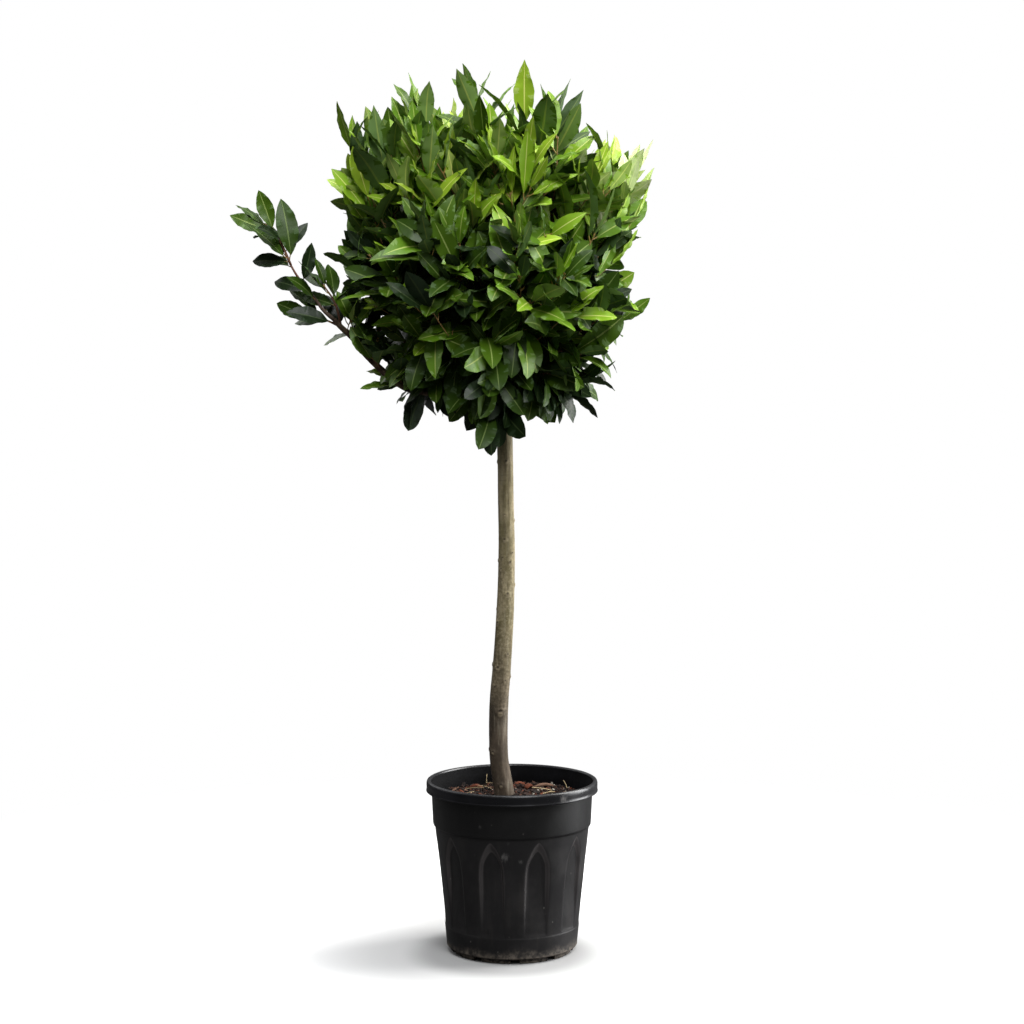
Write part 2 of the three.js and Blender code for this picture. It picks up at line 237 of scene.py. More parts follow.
# ---------------------------------------------------------------- camera, light and floor
def make_stage():
    cam = bpy.data.cameras.new("camera")
    cam.sensor_width = 36
    cam.lens = 76.02
    eye = bpy.data.objects.new("camera", cam)
    eye.location = (0, -3.5, 0.95779)
    eye.rotation_euler = (math.radians(90 - 3.9214), 0, 0)
    bpy.context.scene.collection.objects.link(eye)
    bpy.context.scene.camera = eye

    def area(name, at, aim, size, watts, colour=(1, 1, 1), shape="SQUARE"):
        light = bpy.data.lights.new(name, "AREA")
        light.shape = shape
        light.size = size
        light.energy = watts
        light.color = colour
        ob = bpy.data.objects.new(name, light)
        ob.location = at
        ob.rotation_euler = (Vector(aim) - Vector(at)).to_track_quat("-Z", "Y").to_euler()
        bpy.context.scene.collection.objects.link(ob)
        return ob

    area("key", (2.6, 0.75, 2.9), (0, 0, 0.95), 2.0, 178, (1.0, 0.985, 0.95))
    area("top", (-0.2, -0.2, 3.8), (0, 0, 1.1), 2.2, 95, (0.98, 0.99, 1.0))
    area("front", (0.9, -2.7, 3.4), (0, 0, 1.15), 1.8, 128, (0.98, 0.99, 1.0))
    area("left", (-2.7, 0.7, 2.5), (0, 0, 1.1), 1.6, 13, (0.98, 0.99, 1.0))
    area("back", (-1.9, 2.7, 2.2), (0, 0, 0.95), 1.6, 11, (0.98, 0.99, 1.0))
    area("side", (2.65, 0.45, 0.9), (0, 0, 0.3), 1.7, 105, (0.98, 0.99, 1.0))

    # a pale studio all round: bright overhead and behind, dimmer in front
    world = bpy.data.worlds.new("studio")
    bpy.context.scene.world = world
    world.use_nodes = True
    n = Net(world.node_tree)
    back = world.node_tree.nodes["Background"]
    way = n.split(n.new("ShaderNodeTexCoord").outputs["Generated"])
    up = n.span(way[2], 0.05, 0.95, 0.0, 1.0)
    rear = n.span(way[1], -0.6, 0.7, 0.0, 1.0)
    right = n.span(way[0], -0.9, 0.9, 0.0, 1.0)
    glow = n.math("MULTIPLY_ADD", up, 0.55)
    glow.node.inputs[2].default_value = 0.015
    glow = n.math("ADD", glow, n.math("MULTIPLY", rear, 0.04))
    glow = n.math("ADD", glow, n.math("MULTIPLY", right, 0.20))
    seen = n.new("ShaderNodeLightPath").outputs["Is Camera Ray"]
    shown = n.math("MAXIMUM", glow, seen)
    strength = n.new("ShaderNodeMix", data_type="FLOAT")
    n.put(strength.inputs[0], seen)
    n.put(strength.inputs[2], glow)
    n.put(strength.inputs[3], 1.0)
    n.put(back.inputs["Strength"], strength.outputs[0])
    back.inputs["Color"].default_value = (1, 1, 1, 1)

    # floor: what the camera sees holds a painted shadow, darker close round the pot and centred a little to the front
    # left
    r = 14.0
    floor = mesh_of("floor", [(-r, -r, 0), (r, -r, 0), (r, r, 0), (-r, r, 0)], [(0, 1, 2, 3)])
    m = bpy.data.materials.new("pale_floor")
    m.use_nodes = True
    n = Net(m.node_tree)
    for node in list(m.node_tree.nodes):
        if node.type == "BSDF_PRINCIPLED":
            m.node_tree.nodes.remove(node)
    out = m.node_tree.nodes["Material Output"]
    here = n.object()
    far = n.new("ShaderNodeVectorMath", operation="LENGTH")
    n.put(far.inputs[0], here)
    fade = n.span(far.outputs["Value"], 0.55, 1.5)
    soft = n.new("ShaderNodeBsdfDiffuse")
    # painted shadow: the floor's colour darkens towards the pot
    painted_shadow_pool = n.new("ShaderNodeVectorMath", operation="LENGTH")
    n.put(painted_shadow_pool.inputs[0], n.scaled(here, (1, 1, 1), (0.014, 0.030, 0)))
    near = n.mix(n.span(painted_shadow_pool.outputs["Value"], 0.112, 0.175), (0.30, 0.30, 0.30, 1), (0.48, 0.48, 0.48, 1))
    n.put(soft.inputs["Color"], n.mix(n.span(painted_shadow_pool.outputs["Value"], 0.17, 0.42), near, (0.80, 0.80, 0.80, 1)))
    dim = n.new("ShaderNodeBsdfDiffuse")
    dim.inputs["Color"].default_value = (0.06, 0.06, 0.06, 1)
    lit = n.new("ShaderNodeEmission")
    lit.inputs["Strength"].default_value = 1.0
    a = n.new("ShaderNodeMixShader")
    n.put(a.inputs[0], fade)
    n.put(a.inputs[1], soft.outputs[0])
    n.put(a.inputs[2], lit.outputs[0])
    b = n.new("ShaderNodeMixShader")
    n.put(b.inputs[0], n.new("ShaderNodeLightPath").outputs["Is Camera Ray"])
    n.put(b.inputs[1], dim.outputs[0])
    n.put(b.inputs[2], a.outputs[0])
    n.put(out.inputs["Surface"], b.outputs[0])
    floor.data.materials.append(m)
    view = bpy.context.scene.view_settings
    view.view_transform = "Standard"
    view.look = "None"


make_stage()


# ---------------------------------------------------------------- pot
POT_WALL_LOW, POT_WALL_HIGH, WALL_LOW_Z, WALL_HIGH_Z = 106.3, 126.2, 10.0, 206.5
ARCH_COUNT, ARCH_FIRST, ARCH_HALF, ARCH_FOOT, ARCH_SPRING, ARCH_APEX = 10, 20.0, 21.0, 44.0, 142.0, 202.0
ARCH_DEPTH, ARCH_SLOPE, ARCH_CHAMFER = 5.4, 19.0, 4.4


def wall_r(z):
    return POT_WALL_LOW + (POT_WALL_HIGH - POT_WALL_LOW) * (z - WALL_LOW_Z) / (WALL_HIGH_Z - WALL_LOW_Z)


_s = np.linspace(0, 1, 400)
_ax = ARCH_HALF * (1 - _s**1.9) ** 0.68
_az = ARCH_SPRING + (ARCH_APEX - ARCH_SPRING) * _s


def arch_half(z):
    """Half width of the niche's outline at a height."""
    return np.where(z <= ARCH_SPRING, ARCH_HALF, np.interp(z, _az, _ax, right=0.0))


def arch_top(x):
    """Height of the niche's outline over a point at x."""
    return np.interp(-np.abs(x), -_ax, _az)


def niche(x, z):
    """How far the wall is set in, as a share of the full depth."""
    inside = np.minimum((arch_half(z) - np.abs(x)) / ARCH_CHAMFER, (arch_top(x) - z) / ARCH_SLOPE)
    inside = np.minimum(inside, (z - ARCH_FOOT) / 6.0)
    f = np.clip(inside, 0, 1)
    f = f * f * (3 - 2 * f)
    return f * (0.16 + 0.84 * smooth(46, 130, z))


def make_pot():
    rows = []  # (radius, height, follows the arches)

    def row(r, z, arch=0.0):
        rows.append((r, z, arch))

    for r, z in ((12, 0), (30, 0), (52, 0), (54.2, 0.4), (57.6, 7.4), (58.6, 8), (73, 8), (87, 8), (88.4, 7.4), (90.6, 0.5), (91.6, 0)):
        row(r, z)
    for r, z in ((98.8, 0), (100.0, 0.5), (100.7, 1.5), (101.0, 3.6), (101.3, 6.0), (101.9, 7.4), (103.8, 8.1), (106.0, 8.6), (107.0, 9.5), (107.2, 10.6)):
        row(r, z)
    for z in (14, 20, 26, 32, 38, 41):
        row(wall_r(z) + 0.50, z)
    row(wall_r(42.2) + 0.45, 42.2)
    row(wall_r(43.0) + 0.16, 43.0)
    for z in (44.2, 46, 48, 50.5, 54, 58, 63, 68, 74, 80, 88, 96, 104, 112, 120, 128, 134, 139, 142):
        row(wall_r(z), z, 1.0)
    for z in np.arange(144, 202.5, 1.9):
        row(wall_r(z), float(z), 1.0)
    row(wall_r(204), 204, 0.9)
    row(wall_r(205.8), 205.8, 0.8)
    row(wall_r(206.6) + 0.25, 206.6, 0.7)
    row(128.3, 207.2, 0.6)
    row(129.0, 208.2, 0.5)
    z = 209.4
    k = 0
    while z < 260.6:
        t = (z - 208) / 54.0
        row(129.1 + 2.4 * t + (0.085 if k % 2 else -0.085), z, max(0.0, 0.4 - 0.02 * k))
        z += 1.0
        k += 1
    for r, z in ((131.6, 261.2), (132.3, 261.9), (134.5, 262.1), (138.4, 262.0), (139.6, 262.15), (140.25, 262.7), (140.4, 263.4), (140.1, 264.2), (139.75, 265.0), (139.7, 268), (139.85, 272), (139.8, 275.6), (139.35, 277.6), (138.5, 279.0), (137.3, 279.75), (136.0, 280.0), (134.8, 279.9), (133.7, 279.5), (132.9, 278.7), (132.3, 277.2), (131.9, 275.0), (131.2, 271.5), (129.6, 265.5), (128.7, 261.0), (128.2, 255), (127.6, 246), (126.8, 232), (125.9, 213), (122.0, 203), (118.3, 190)):
        row(r, z)
    for z in (150, 90, 40, 23):
        row(wall_r(z) - 6.2, z)
    for r, z in ((100, 16), (94, 10.6), (73, 10.6), (40, 10.6), (12, 10.6)):
        row(r, z)

    sector = 2 * math.pi / ARCH_COUNT
    cols = 26
    co = []
    for r, z, arch in rows:
        A = float(arch_half(min(z, ARCH_APEX))) if arch > 0 and z < ARCH_APEX else (0.25 if arch > 0 else ARCH_HALF)
        A = max(A, 0.25)
        B = max(min(A - ARCH_CHAMFER, float(arch_half(min(z + ARCH_SLOPE, ARCH_APEX))) if z + ARCH_SLOPE < ARCH_APEX else 0.0), A * 0.35)
        edge = sector / 2 * r
        rel = np.concatenate([
            np.linspace(-edge, -A, 6)[:-1], np.linspace(-A, -B, 5)[:-1], np.linspace(-B, B, 9)[:-1],
            np.linspace(B, A, 5)[:-1], np.linspace(A, edge, 6)[:-1],
        ])
        even = np.linspace(-edge, edge, cols + 1)[:-1]
        if z > ARCH_APEX:
            share = smooth(ARCH_APEX, 240, z)
            rel = rel * (1 - share) + even * share
        elif z < ARCH_FOOT:
            share = smooth(ARCH_FOOT, 8, z)
            rel = rel * (1 - share) + even * share
        set_in = ARCH_DEPTH * niche(rel, np.full_like(rel, z)) if ARCH_FOOT < z < ARCH_APEX else np.zeros_like(rel)
        for i in range(ARCH_COUNT):
            a = math.radians(-90 + ARCH_FIRST) + i * sector + rel / r
            rr = r - set_in
            co.append(np.stack([rr * np.cos(a), rr * np.sin(a), np.full_like(a, z)], -1))
    nc = cols * ARCH_COUNT
    co = np.concatenate(co)
    quads = []
    j = np.arange(nc)
    for i in range(len(rows) - 1):
        a, b = i * nc + j, i * nc + (j + 1) % nc
        quads.append(np.stack([a, b, b + nc, a + nc], -1))
    top = (len(rows) - 1) * nc
    co = np.concatenate([co, [[0, 0, 0], [0, 0, 10.6]]])
    c0, c1 = len(co) - 2, len(co) - 1
    tris = [np.stack([np.full(nc, c0), (j + 1) % nc, j], -1), np.stack([np.full(nc, c1), top + j, top + (j + 1) % nc], -1)]
    pot = mesh_of("pot_moulded", co * MM, np.concatenate(quads), np.concatenate(tris))

    # notches in the foot and drain holes in the floor
    cut = Soup()
    for i in range(10):
        a = math.radians(2.8 - 90 + 36 * i)
        c, s = math.cos(a), math.sin(a)
        w, h = 8.5, 6.6
        box = []
        for x, zz, ww in ((87.0, -4, w), (87.0, h, w - 1.2), (116, -4, w), (116, h, w - 1.2)):
            for side in (-1, 1):
                box.append((x * c - side * ww * s, x * s + side * ww * c, zz))
        cut.add(np.array(box) * MM, [(2, 3, 1, 0), (5, 7, 6, 4), (1, 5, 4, 0), (6, 7, 3, 2), (4, 6, 2, 0), (3, 7, 5, 1)])
    for i in range(5):
        a = math.radians(10 - 90 + 72 * i)
        k = np.arange(24) * 2 * math.pi / 24
        ring = np.stack([73 * math.cos(a) + 5.5 * np.cos(k), 73 * math.sin(a) + 5.5 * np.sin(k)], -1)
        low, high = np.c_[ring, np.full(24, 2.0)], np.c_[ring, np.full(24, 16.0)]
        v = np.concatenate([low, high, [[*(np.array([math.cos(a), math.sin(a)]) * 73), 2.0]], [[*(np.array([math.cos(a), math.sin(a)]) * 73), 16.0]]])
        n = np.arange(24)
        m = (n + 1) % 24
        cut.add(v * MM, np.stack([n, m, m + 24, n + 24], -1), np.concatenate([np.stack([np.full(24, 48), m, n], -1), np.stack([np.full(24, 49), n + 24, m + 24], -1)]))
    cutter = cut.build("cutter", [])
    mod = pot.modifiers.new("cut", "BOOLEAN")
    mod.object = cutter
    mod.operation = "DIFFERENCE"
    mod.solver = "MANIFOLD"
    made = bpy.data.meshes.new_from_object(pot.evaluated_get(bpy.context.evaluated_depsgraph_get()))
    pot.modifiers.clear()
    old = pot.data
    if len(made.polygons) > len(old.polygons) * 0.8:
        pot.data = made
        bpy.data.meshes.remove(old)
    bpy.data.objects.remove(cutter)
    me = pot.data
    me.polygons.foreach_set("use_smooth", np.ones(len(me.polygons), bool))
    me.set_sharp_from_angle(angle=math.radians(48))

    # black recycled plastic: satin, a little dusty, scuffed, muddy at the foot
    m, tree, p = principled("pot_plastic", lin(28, 27, 28), 0.45, Specular_IOR_Level=0.42)
    n = Net(tree)
    here = n.object()
    xyz = n.split(here)
    z = xyz[2]
    cloud = n.noise(here, 14, 4, 0.6)
    grain = n.noise(here, 260, 2, 0.6)
    streak = n.noise(n.scaled(here, (60, 60, 5)), 1.0, 4, 0.65)
    dust = n.span(cloud, 0.42, 0.72)
    base = n.mix(n.math("MULTIPLY", dust, 0.55), lin(22, 21, 22), lin(42, 40, 40))
    base = n.mix(n.math("MULTIPLY", n.span(streak, 0.5, 0.8), 0.32), base, lin(52, 49, 46))
    # rim is cleaner and bluish
    rim = n.span(z, 0.2585, 0.2635)
    collar = n.math("MULTIPLY", n.span(z, 0.205, 0.209), n.span(z, 0.264, 0.260))
    base = n.mix(n.math("MULTIPLY", collar, 0.8), base, lin(4, 4, 4))
    base = n.mix(rim, base, n.mix(n.math("MULTIPLY", dust, 0.5), lin(8, 8, 11), lin(20, 19, 26)))
    # the inside is shaded and damp
    facing = n.new("ShaderNodeVectorMath", operation="DOT_PRODUCT")
    flat = n.new("ShaderNodeVectorMath", operation="MULTIPLY")
    n.put(flat.inputs[0], here)
    flat.inputs[1].default_value = (7.8, 7.8, 0)
    n.put(facing.inputs[0], flat.outputs[0])
    n.put(facing.inputs[1], n.new("ShaderNodeNewGeometry").outputs["Normal"])
    inner = n.math("MULTIPLY", n.span(facing.outputs["Value"], -0.05, -0.35), n.span(z, 0.277, 0.273))
    base = n.mix(n.math("MULTIPLY", inner, 0.9), base, lin(4, 4, 5))
    # painted highlight: the bevels of the arches and their faces turned down are painted paler than the wall, for the
    # light they catch
    nor = n.split(n.new("ShaderNodeNewGeometry").outputs["Normal"])
    along = n.math("SUBTRACT", n.math("MULTIPLY", xyz[0], nor[1]), n.math("MULTIPLY", xyz[1], nor[0]))
    bevel_highlight = n.math("MAXIMUM", n.span(nor[2], -0.17, -0.30), n.math("MULTIPLY", n.span(n.math("ABSOLUTE", along), 0.016, 0.055), 0.75))
    bevel_highlight = n.math("MULTIPLY", bevel_highlight, n.math("MULTIPLY", n.span(z, 0.050, 0.150), n.span(z, 0.2035, 0.2015)))
    bevel_highlight = n.math("MULTIPLY", bevel_highlight, n.math("SUBTRACT", 1.0, inner))
    base = n.mix(n.math("MULTIPLY", bevel_highlight, 0.54), base, lin(84, 80, 80))
    # specks of lime and soil
    dots = n.cells(n.scaled(here, (1, 1, 0.8)), 95, "Distance")
    pick = n.noise(here, 41, 1, 0.5)
    speck = n.math("MULTIPLY", n.span(dots, 0.16, 0.05), n.span(pick, 0.60, 0.66))
    base = n.mix(n.math("MULTIPLY", speck, 0.55), base, lin(112, 110, 106))
    # dried mud round the foot
    mud_edge = n.math("ADD", z, n.math("MULTIPLY", n.noise(here, 34, 4, 0.65), -0.030))
    mud = n.math("MULTIPLY", n.span(mud_edge, 0.012, -0.012), 0.8)
    mud_tone = n.mix(n.span(n.noise(here, 110, 4, 0.68), 0.36, 0.66), lin(42, 37, 33), lin(132, 122, 110))
    base = n.mix(n.math("MULTIPLY", mud, 0.85), base, mud_tone)
    crust = n.math("MULTIPLY", n.math("MULTIPLY", n.span(z, 0.0125, 0.0095), n.span(z, 0.0065, 0.0080)), n.span(n.noise(here, 60, 4, 0.7), 0.42, 0.58))
    base = n.mix(n.math("MULTIPLY", crust, 0.7), base, lin(96, 88, 80))
    # rubbed patches on the front ribs
    for at, size, much in (((-0.011, -0.1235, 0.178), 0.012, 0.55), ((0.014, -0.1225, 0.171), 0.007, 0.45), ((-0.006, -0.128, 0.2), 0.006, 0.3), ((0.082, -0.114, 0.270), 0.012, 0.6), ((-0.05, -0.118, 0.226), 0.006, 0.4)):
        gap = n.new("ShaderNodeVectorMath", operation="DISTANCE")
        n.put(gap.inputs[0], here)
        gap.inputs[1].default_value = at
        ragged = n.math("ADD", gap.outputs["Value"], n.math("MULTIPLY", n.noise(n.scaled(here, (420, 420, 130)), 1.0, 3, 0.7), size * 1.6))
        spot = n.math("MULTIPLY", n.span(ragged, size * 1.5, size * 0.55), much)
        base = n.mix(spot, base, lin(122, 120, 118))
    n.put(p.inputs["Base Color"], base)
    rough = n.math("ADD", n.span(cloud, 0.3, 0.75, 0.34, 0.50), n.math("MULTIPLY", grain, 0.06))
    rough = n.math("ADD", rough, n.math("MULTIPLY", mud, 0.3), clamp=True)
    rough = n.math("SUBTRACT", rough, n.math("MULTIPLY", rim, 0.10), clamp=True)
    n.put(p.inputs["Roughness"], rough)
    height = n.math("ADD", n.math("MULTIPLY", grain, 0.4), n.math("MULTIPLY", n.noise(here, 30, 3, 0.5), 1.4))
    height = n.math("ADD", height, n.math("MULTIPLY", mud, n.noise(here, 220, 3, 0.6)))
    n.put(p.inputs["Normal"], n.bump(height, 0.35, 0.0006))
    # the inside wall is duller than the outside, and its colour is painted shade, much darker than the outside
    m_in, tree, p = principled("pot_inside", lin(6, 6, 7), 0.8, Specular_IOR_Level=0.10)
    n = Net(tree)
    here = n.object()
    n.put(p.inputs["Base Color"], n.mix(n.span(n.noise(here, 24, 4, 0.6), 0.4, 0.7), lin(3, 3, 4), lin(10, 10, 13)))
    n.put(p.inputs["Normal"], n.bump(n.noise(here, 60, 3, 0.6), 0.4, 0.0008))
    me.materials.clear()
    me.materials.append(m)
    me.materials.append(m_in)
    mid, nor = np.empty(len(me.polygons) * 3), np.empty(len(me.polygons) * 3)
    me.polygons.foreach_get("center", mid)
    me.polygons.foreach_get("normal", nor)
    mid, nor = mid.reshape(-1, 3), nor.reshape(-1, 3)
    radial = (mid[:, :2] * nor[:, :2]).sum(1) / np.maximum(np.linalg.norm(mid[:, :2], axis=1), 1e-6)
    inside = (mid[:, 2] > 0.0105) & (mid[:, 2] < 0.2765) & ((radial < -0.25) | (mid[:, 2] < 0.012) & (nor[:, 2] > 0.9) & (np.linalg.norm(mid[:, :2], axis=1) < 0.1))
    me.polygons.foreach_set("material_index", inside.astype(np.int32))
    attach(pot, "root")
    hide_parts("pot")


make_pot()


# ---------------------------------------------------------------- stem and boughs
STEM = [
    (-12.2, 3, 252.6, 17.1), (-14.0, 3, 264, 16.3), (-17.8, 3, 287, 15.7), (-21.3, 2, 314, 15.1),
    (-22.3, 1, 350, 15.0), (-21.2, -1, 411, 15.3), (-17.2, -2, 460, 15.0), (-13.8, -3, 509, 14.6),
    (-10.8, -3, 575, 13.9), (-9.0, -2, 656, 13.2), (-10.2, 0, 737, 12.7), (-11.0, 2, 802, 12.3),
    (-12.2, 3, 850, 12.7), (-14.5, 4, 898, 12.4), (-18, 4, 950, 11.0), (-24, 3, 1010, 9.6),
    (-30, 2, 1070, 8.2), (-34, 0, 1120, 7.0), (-38, -12, 1184, 5.6),
]
# name: centre, half sizes, distance kept from the stem, height where its bough leaves the stem, bough radius
MASS = {
    "top_left": ((-163, -50, 1290), (76, 96, 114), 78, 1014, 6.2),
    "top_middle": ((-46, -52, 1300), (78, 96, 124), 4, None, 0),
    "top_right": ((72, -48, 1288), (80, 96, 112), 80, 1022, 6.0),
    "upper_left": ((-236, 6, 1262), (50, 100, 104), 0, None, 0),
    "upper_right": ((168, -4, 1238), (54, 102, 98), 0, None, 0),
    "top_back_left": ((-118, 98, 1282), (100, 90, 110), 84, 1040, 5.6),
    "top_back_right": ((48, 96, 1278), (102, 92, 108), 84, 1055, 5.6),
    "mid_left": ((-198, -34, 1098), (84, 100, 96), 62, 944, 6.6),
    "mid_front_left": ((-112, -144, 1120), (94, 88, 106), 60, 972, 6.2),
    "mid_front_right": ((26, -148, 1112), (96, 88, 106), 60, 952, 6.4),
    "mid_right": ((116, -34, 1086), (78, 104, 98), 60, 916, 6.6),
    "mid_back_left": ((-136, 126, 1106), (108, 102, 108), 62, 962, 6.2),
    "mid_back_right": ((60, 128, 1100), (104, 102, 108), 62, 986, 6.2),
    "low_left": ((-150, -34, 974), (80, 88, 80), 46, 892, 6.0),
    "low_front": ((-36, -104, 950), (92, 78, 86), 44, 874, 5.8),
    "low_right": ((82, -40, 956), (82, 88, 82), 46, 881, 6.2),
    "low_back": ((-32, 104, 958), (114, 84, 84), 46, 868, 6.0),
    "far_left_low": ((-316, -22, 1064), (44, 34, 56), 0, None, 0),
    "far_left_high": ((-368, -22, 1160), (54, 30, 52), 0, None, 0),
}
LONG = [(-13.5, 4, 872, 7.2), (-34, -4, 884, 6.6), (-90, -26, 904, 6.0), (-167, -40, 919, 5.6), (-192, -41, 934, 5.4), (-216, -40, 955, 5.2)]
LONG_UP = [(-216.4, -40, 955.5, 5.15), (-243, -36, 983, 4.8), (-254, -33, 998, 4.6), (-273, -29, 1016, 4.4), (-284, -26.5, 1027.5, 4.2)]


def spline(path, ts):
    """Points (m) and radii (m) along a smooth path given in mm, at shares ts of its knots."""
    p = np.array([q[:3] for q in path], float)
    rad = np.array([q[3] for q in path], float)
    n = len(p)
    out, rr = [], []
    for t in np.atleast_1d(ts):
        u = min(max(t, 0), 1) * (n - 1)
        i = min(int(u), n - 2)
        w = u - i
        p1, p2 = p[i], p[i + 1]
        p0 = p[i - 1] if i > 0 else 2 * p[0] - p[1]
        p3 = p[i + 2] if i + 2 < n else 2 * p[-1] - p[-2]
        d0, d1, d2 = (max(np.linalg.norm(b - a), 1e-9) ** 0.5 for a, b in ((p0, p1), (p1, p2), (p2, p3)))
        t1 = ((p1 - p0) / d0 - (p2 - p0) / (d0 + d1) + (p2 - p1) / d1) * d1
        t2 = ((p2 - p1) / d1 - (p3 - p1) / (d1 + d2) + (p3 - p2) / d2) * d1
        c2, c3 = -3 * p1 + 3 * p2 - 2 * t1 - t2, 2 * p1 - 2 * p2 + t1 + t2
        out.append(p1 + t1 * w + c2 * w * w + c3 * w**3)
        rr.append(rad[i] + (rad[i + 1] - rad[i]) * w)
    return np.array(out) * MM, np.array(rr) * MM


def even_shares(path, count):
    """Shares of the knots that lie evenly along the path's length."""
    ts = np.linspace(0, 1, 40 * len(path))
    p, _ = spline(path, ts)
    run = np.concatenate([[0], np.cumsum(np.linalg.norm(np.diff(p, axis=0), axis=1))])
    return np.interp(np.linspace(0, run[-1], count), run, ts)


STEM_LINE, _ = spline(STEM, np.linspace(0, 1, 401))


def stem_at(z):
    return STEM_LINE[np.argmin(np.abs(STEM_LINE[:, 2] - z * MM))]


def bough_paths():
    paths = {}
    for name, (at, half, core, start, r) in MASS.items():
        if start is None:
            continue
        at = np.array(at, float)
        root = stem_at(start) / MM
        near = stem_at(min(at[2], 1120)) / MM
        inward = unit(near - at)
        foot = at + inward * (np.linalg.norm(near - at) - core)
        end = foot + inward * 1.2
        flat = unit([-inward[0], -inward[1], 0])
        mid = root + flat * 16 + np.array([0, 0, 15.0])
        paths[name] = [(*root, r * 1.15), (*mid, r), (*(end + inward * 10), r * 0.86), (*end, r * 0.8)]
    return paths


def frames_along(points):
    tan = unit(np.gradient(points, axis=0))
    side = np.array([1.0, 0, 0]) if abs(tan[0][0]) < 0.8 else np.array([0, 1.0, 0])
    sides, others = [], []
    for d in tan:
        side = unit(side - d * side.dot(d))
        sides.append(side)
        others.append(np.cross(d, side))
    return tan, np.array(sides), np.array(others)


def tube(points, radii, sides, relief=None, tip=False):
    """A closed limb: rings along points. relief(angle, run, place) gives metres to add to the radius."""
    n = len(points)
    tan, a, b = frames_along(points)
    th = np.arange(sides) * 2 * math.pi / sides
    ring = a[:, None, :] * np.cos(th)[None, :, None] + b[:, None, :] * np.sin(th)[None, :, None]
    run = np.concatenate([[0], np.cumsum(np.linalg.norm(np.diff(points, axis=0), axis=1))])
    rr = np.broadcast_to(np.asarray(radii, float)[:, None], (n, sides)).copy()
    if relief is not None:
        rr = rr + relief(np.broadcast_to(th, (n, sides)), np.broadcast_to(run[:, None], (n, sides)), points[:, None, :] + ring * rr[..., None])
    co = (points[:, None, :] + ring * rr[..., None]).reshape(-1, 3)
    i, j = np.meshgrid(np.arange(n - 1), np.arange(sides), indexing="ij")
    q = np.stack([i * sides + j, i * sides + (j + 1) % sides, (i + 1) * sides + (j + 1) % sides, (i + 1) * sides + j], -1).reshape(-1, 4)
    end = points[-1] + tan[-1] * (radii[-1] * 1.4 if tip else 0)
    co = np.concatenate([co, [points[0]], [end]])
    k = np.arange(sides)
    t = np.concatenate([
        np.stack([np.full(sides, n * sides), (k + 1) % sides, k], -1),
        np.stack([np.full(sides, n * sides + 1), (n - 1) * sides + k, (n - 1) * sides + (k + 1) % sides], -1),
    ])
    return co, q, t


# knots and old leaf scars up the stem: height (m), angle round it (deg, 0 = +X, 270 = front), size
KNOTS = [
    (0.801, 279, 0.8), (0.716, 262, 0.5), (0.674, 257, 0.9), (0.653, 316, 0.7), (0.646, 244, 0.7), (0.639, 296, 0.9),
    (0.625, 233, 0.8), (0.586, 284, 1.0), (0.540, 220, 1.0), (0.487, 302, 0.9), (0.465, 246, 1.2), (0.444, 297, 0.8),
    (0.434, 239, 1.1), (0.394, 280, 1.5), (0.326, 233, 0.9), (0.272, 261, 1.0), (0.705, 352, 0.7), (0.690, 120, 0.7),
    (0.600, 10, 0.9), (0.560, 150, 0.8), (0.500, 80, 1.1), (0.450, 5, 0.8), (0.400, 110, 0.9), (0.340, 60, 1.0),
    (0.800, 170, 0.8), (0.640, 190, 0.7), (0.470, 185, 0.9), (0.330, 200, 0.9),
]


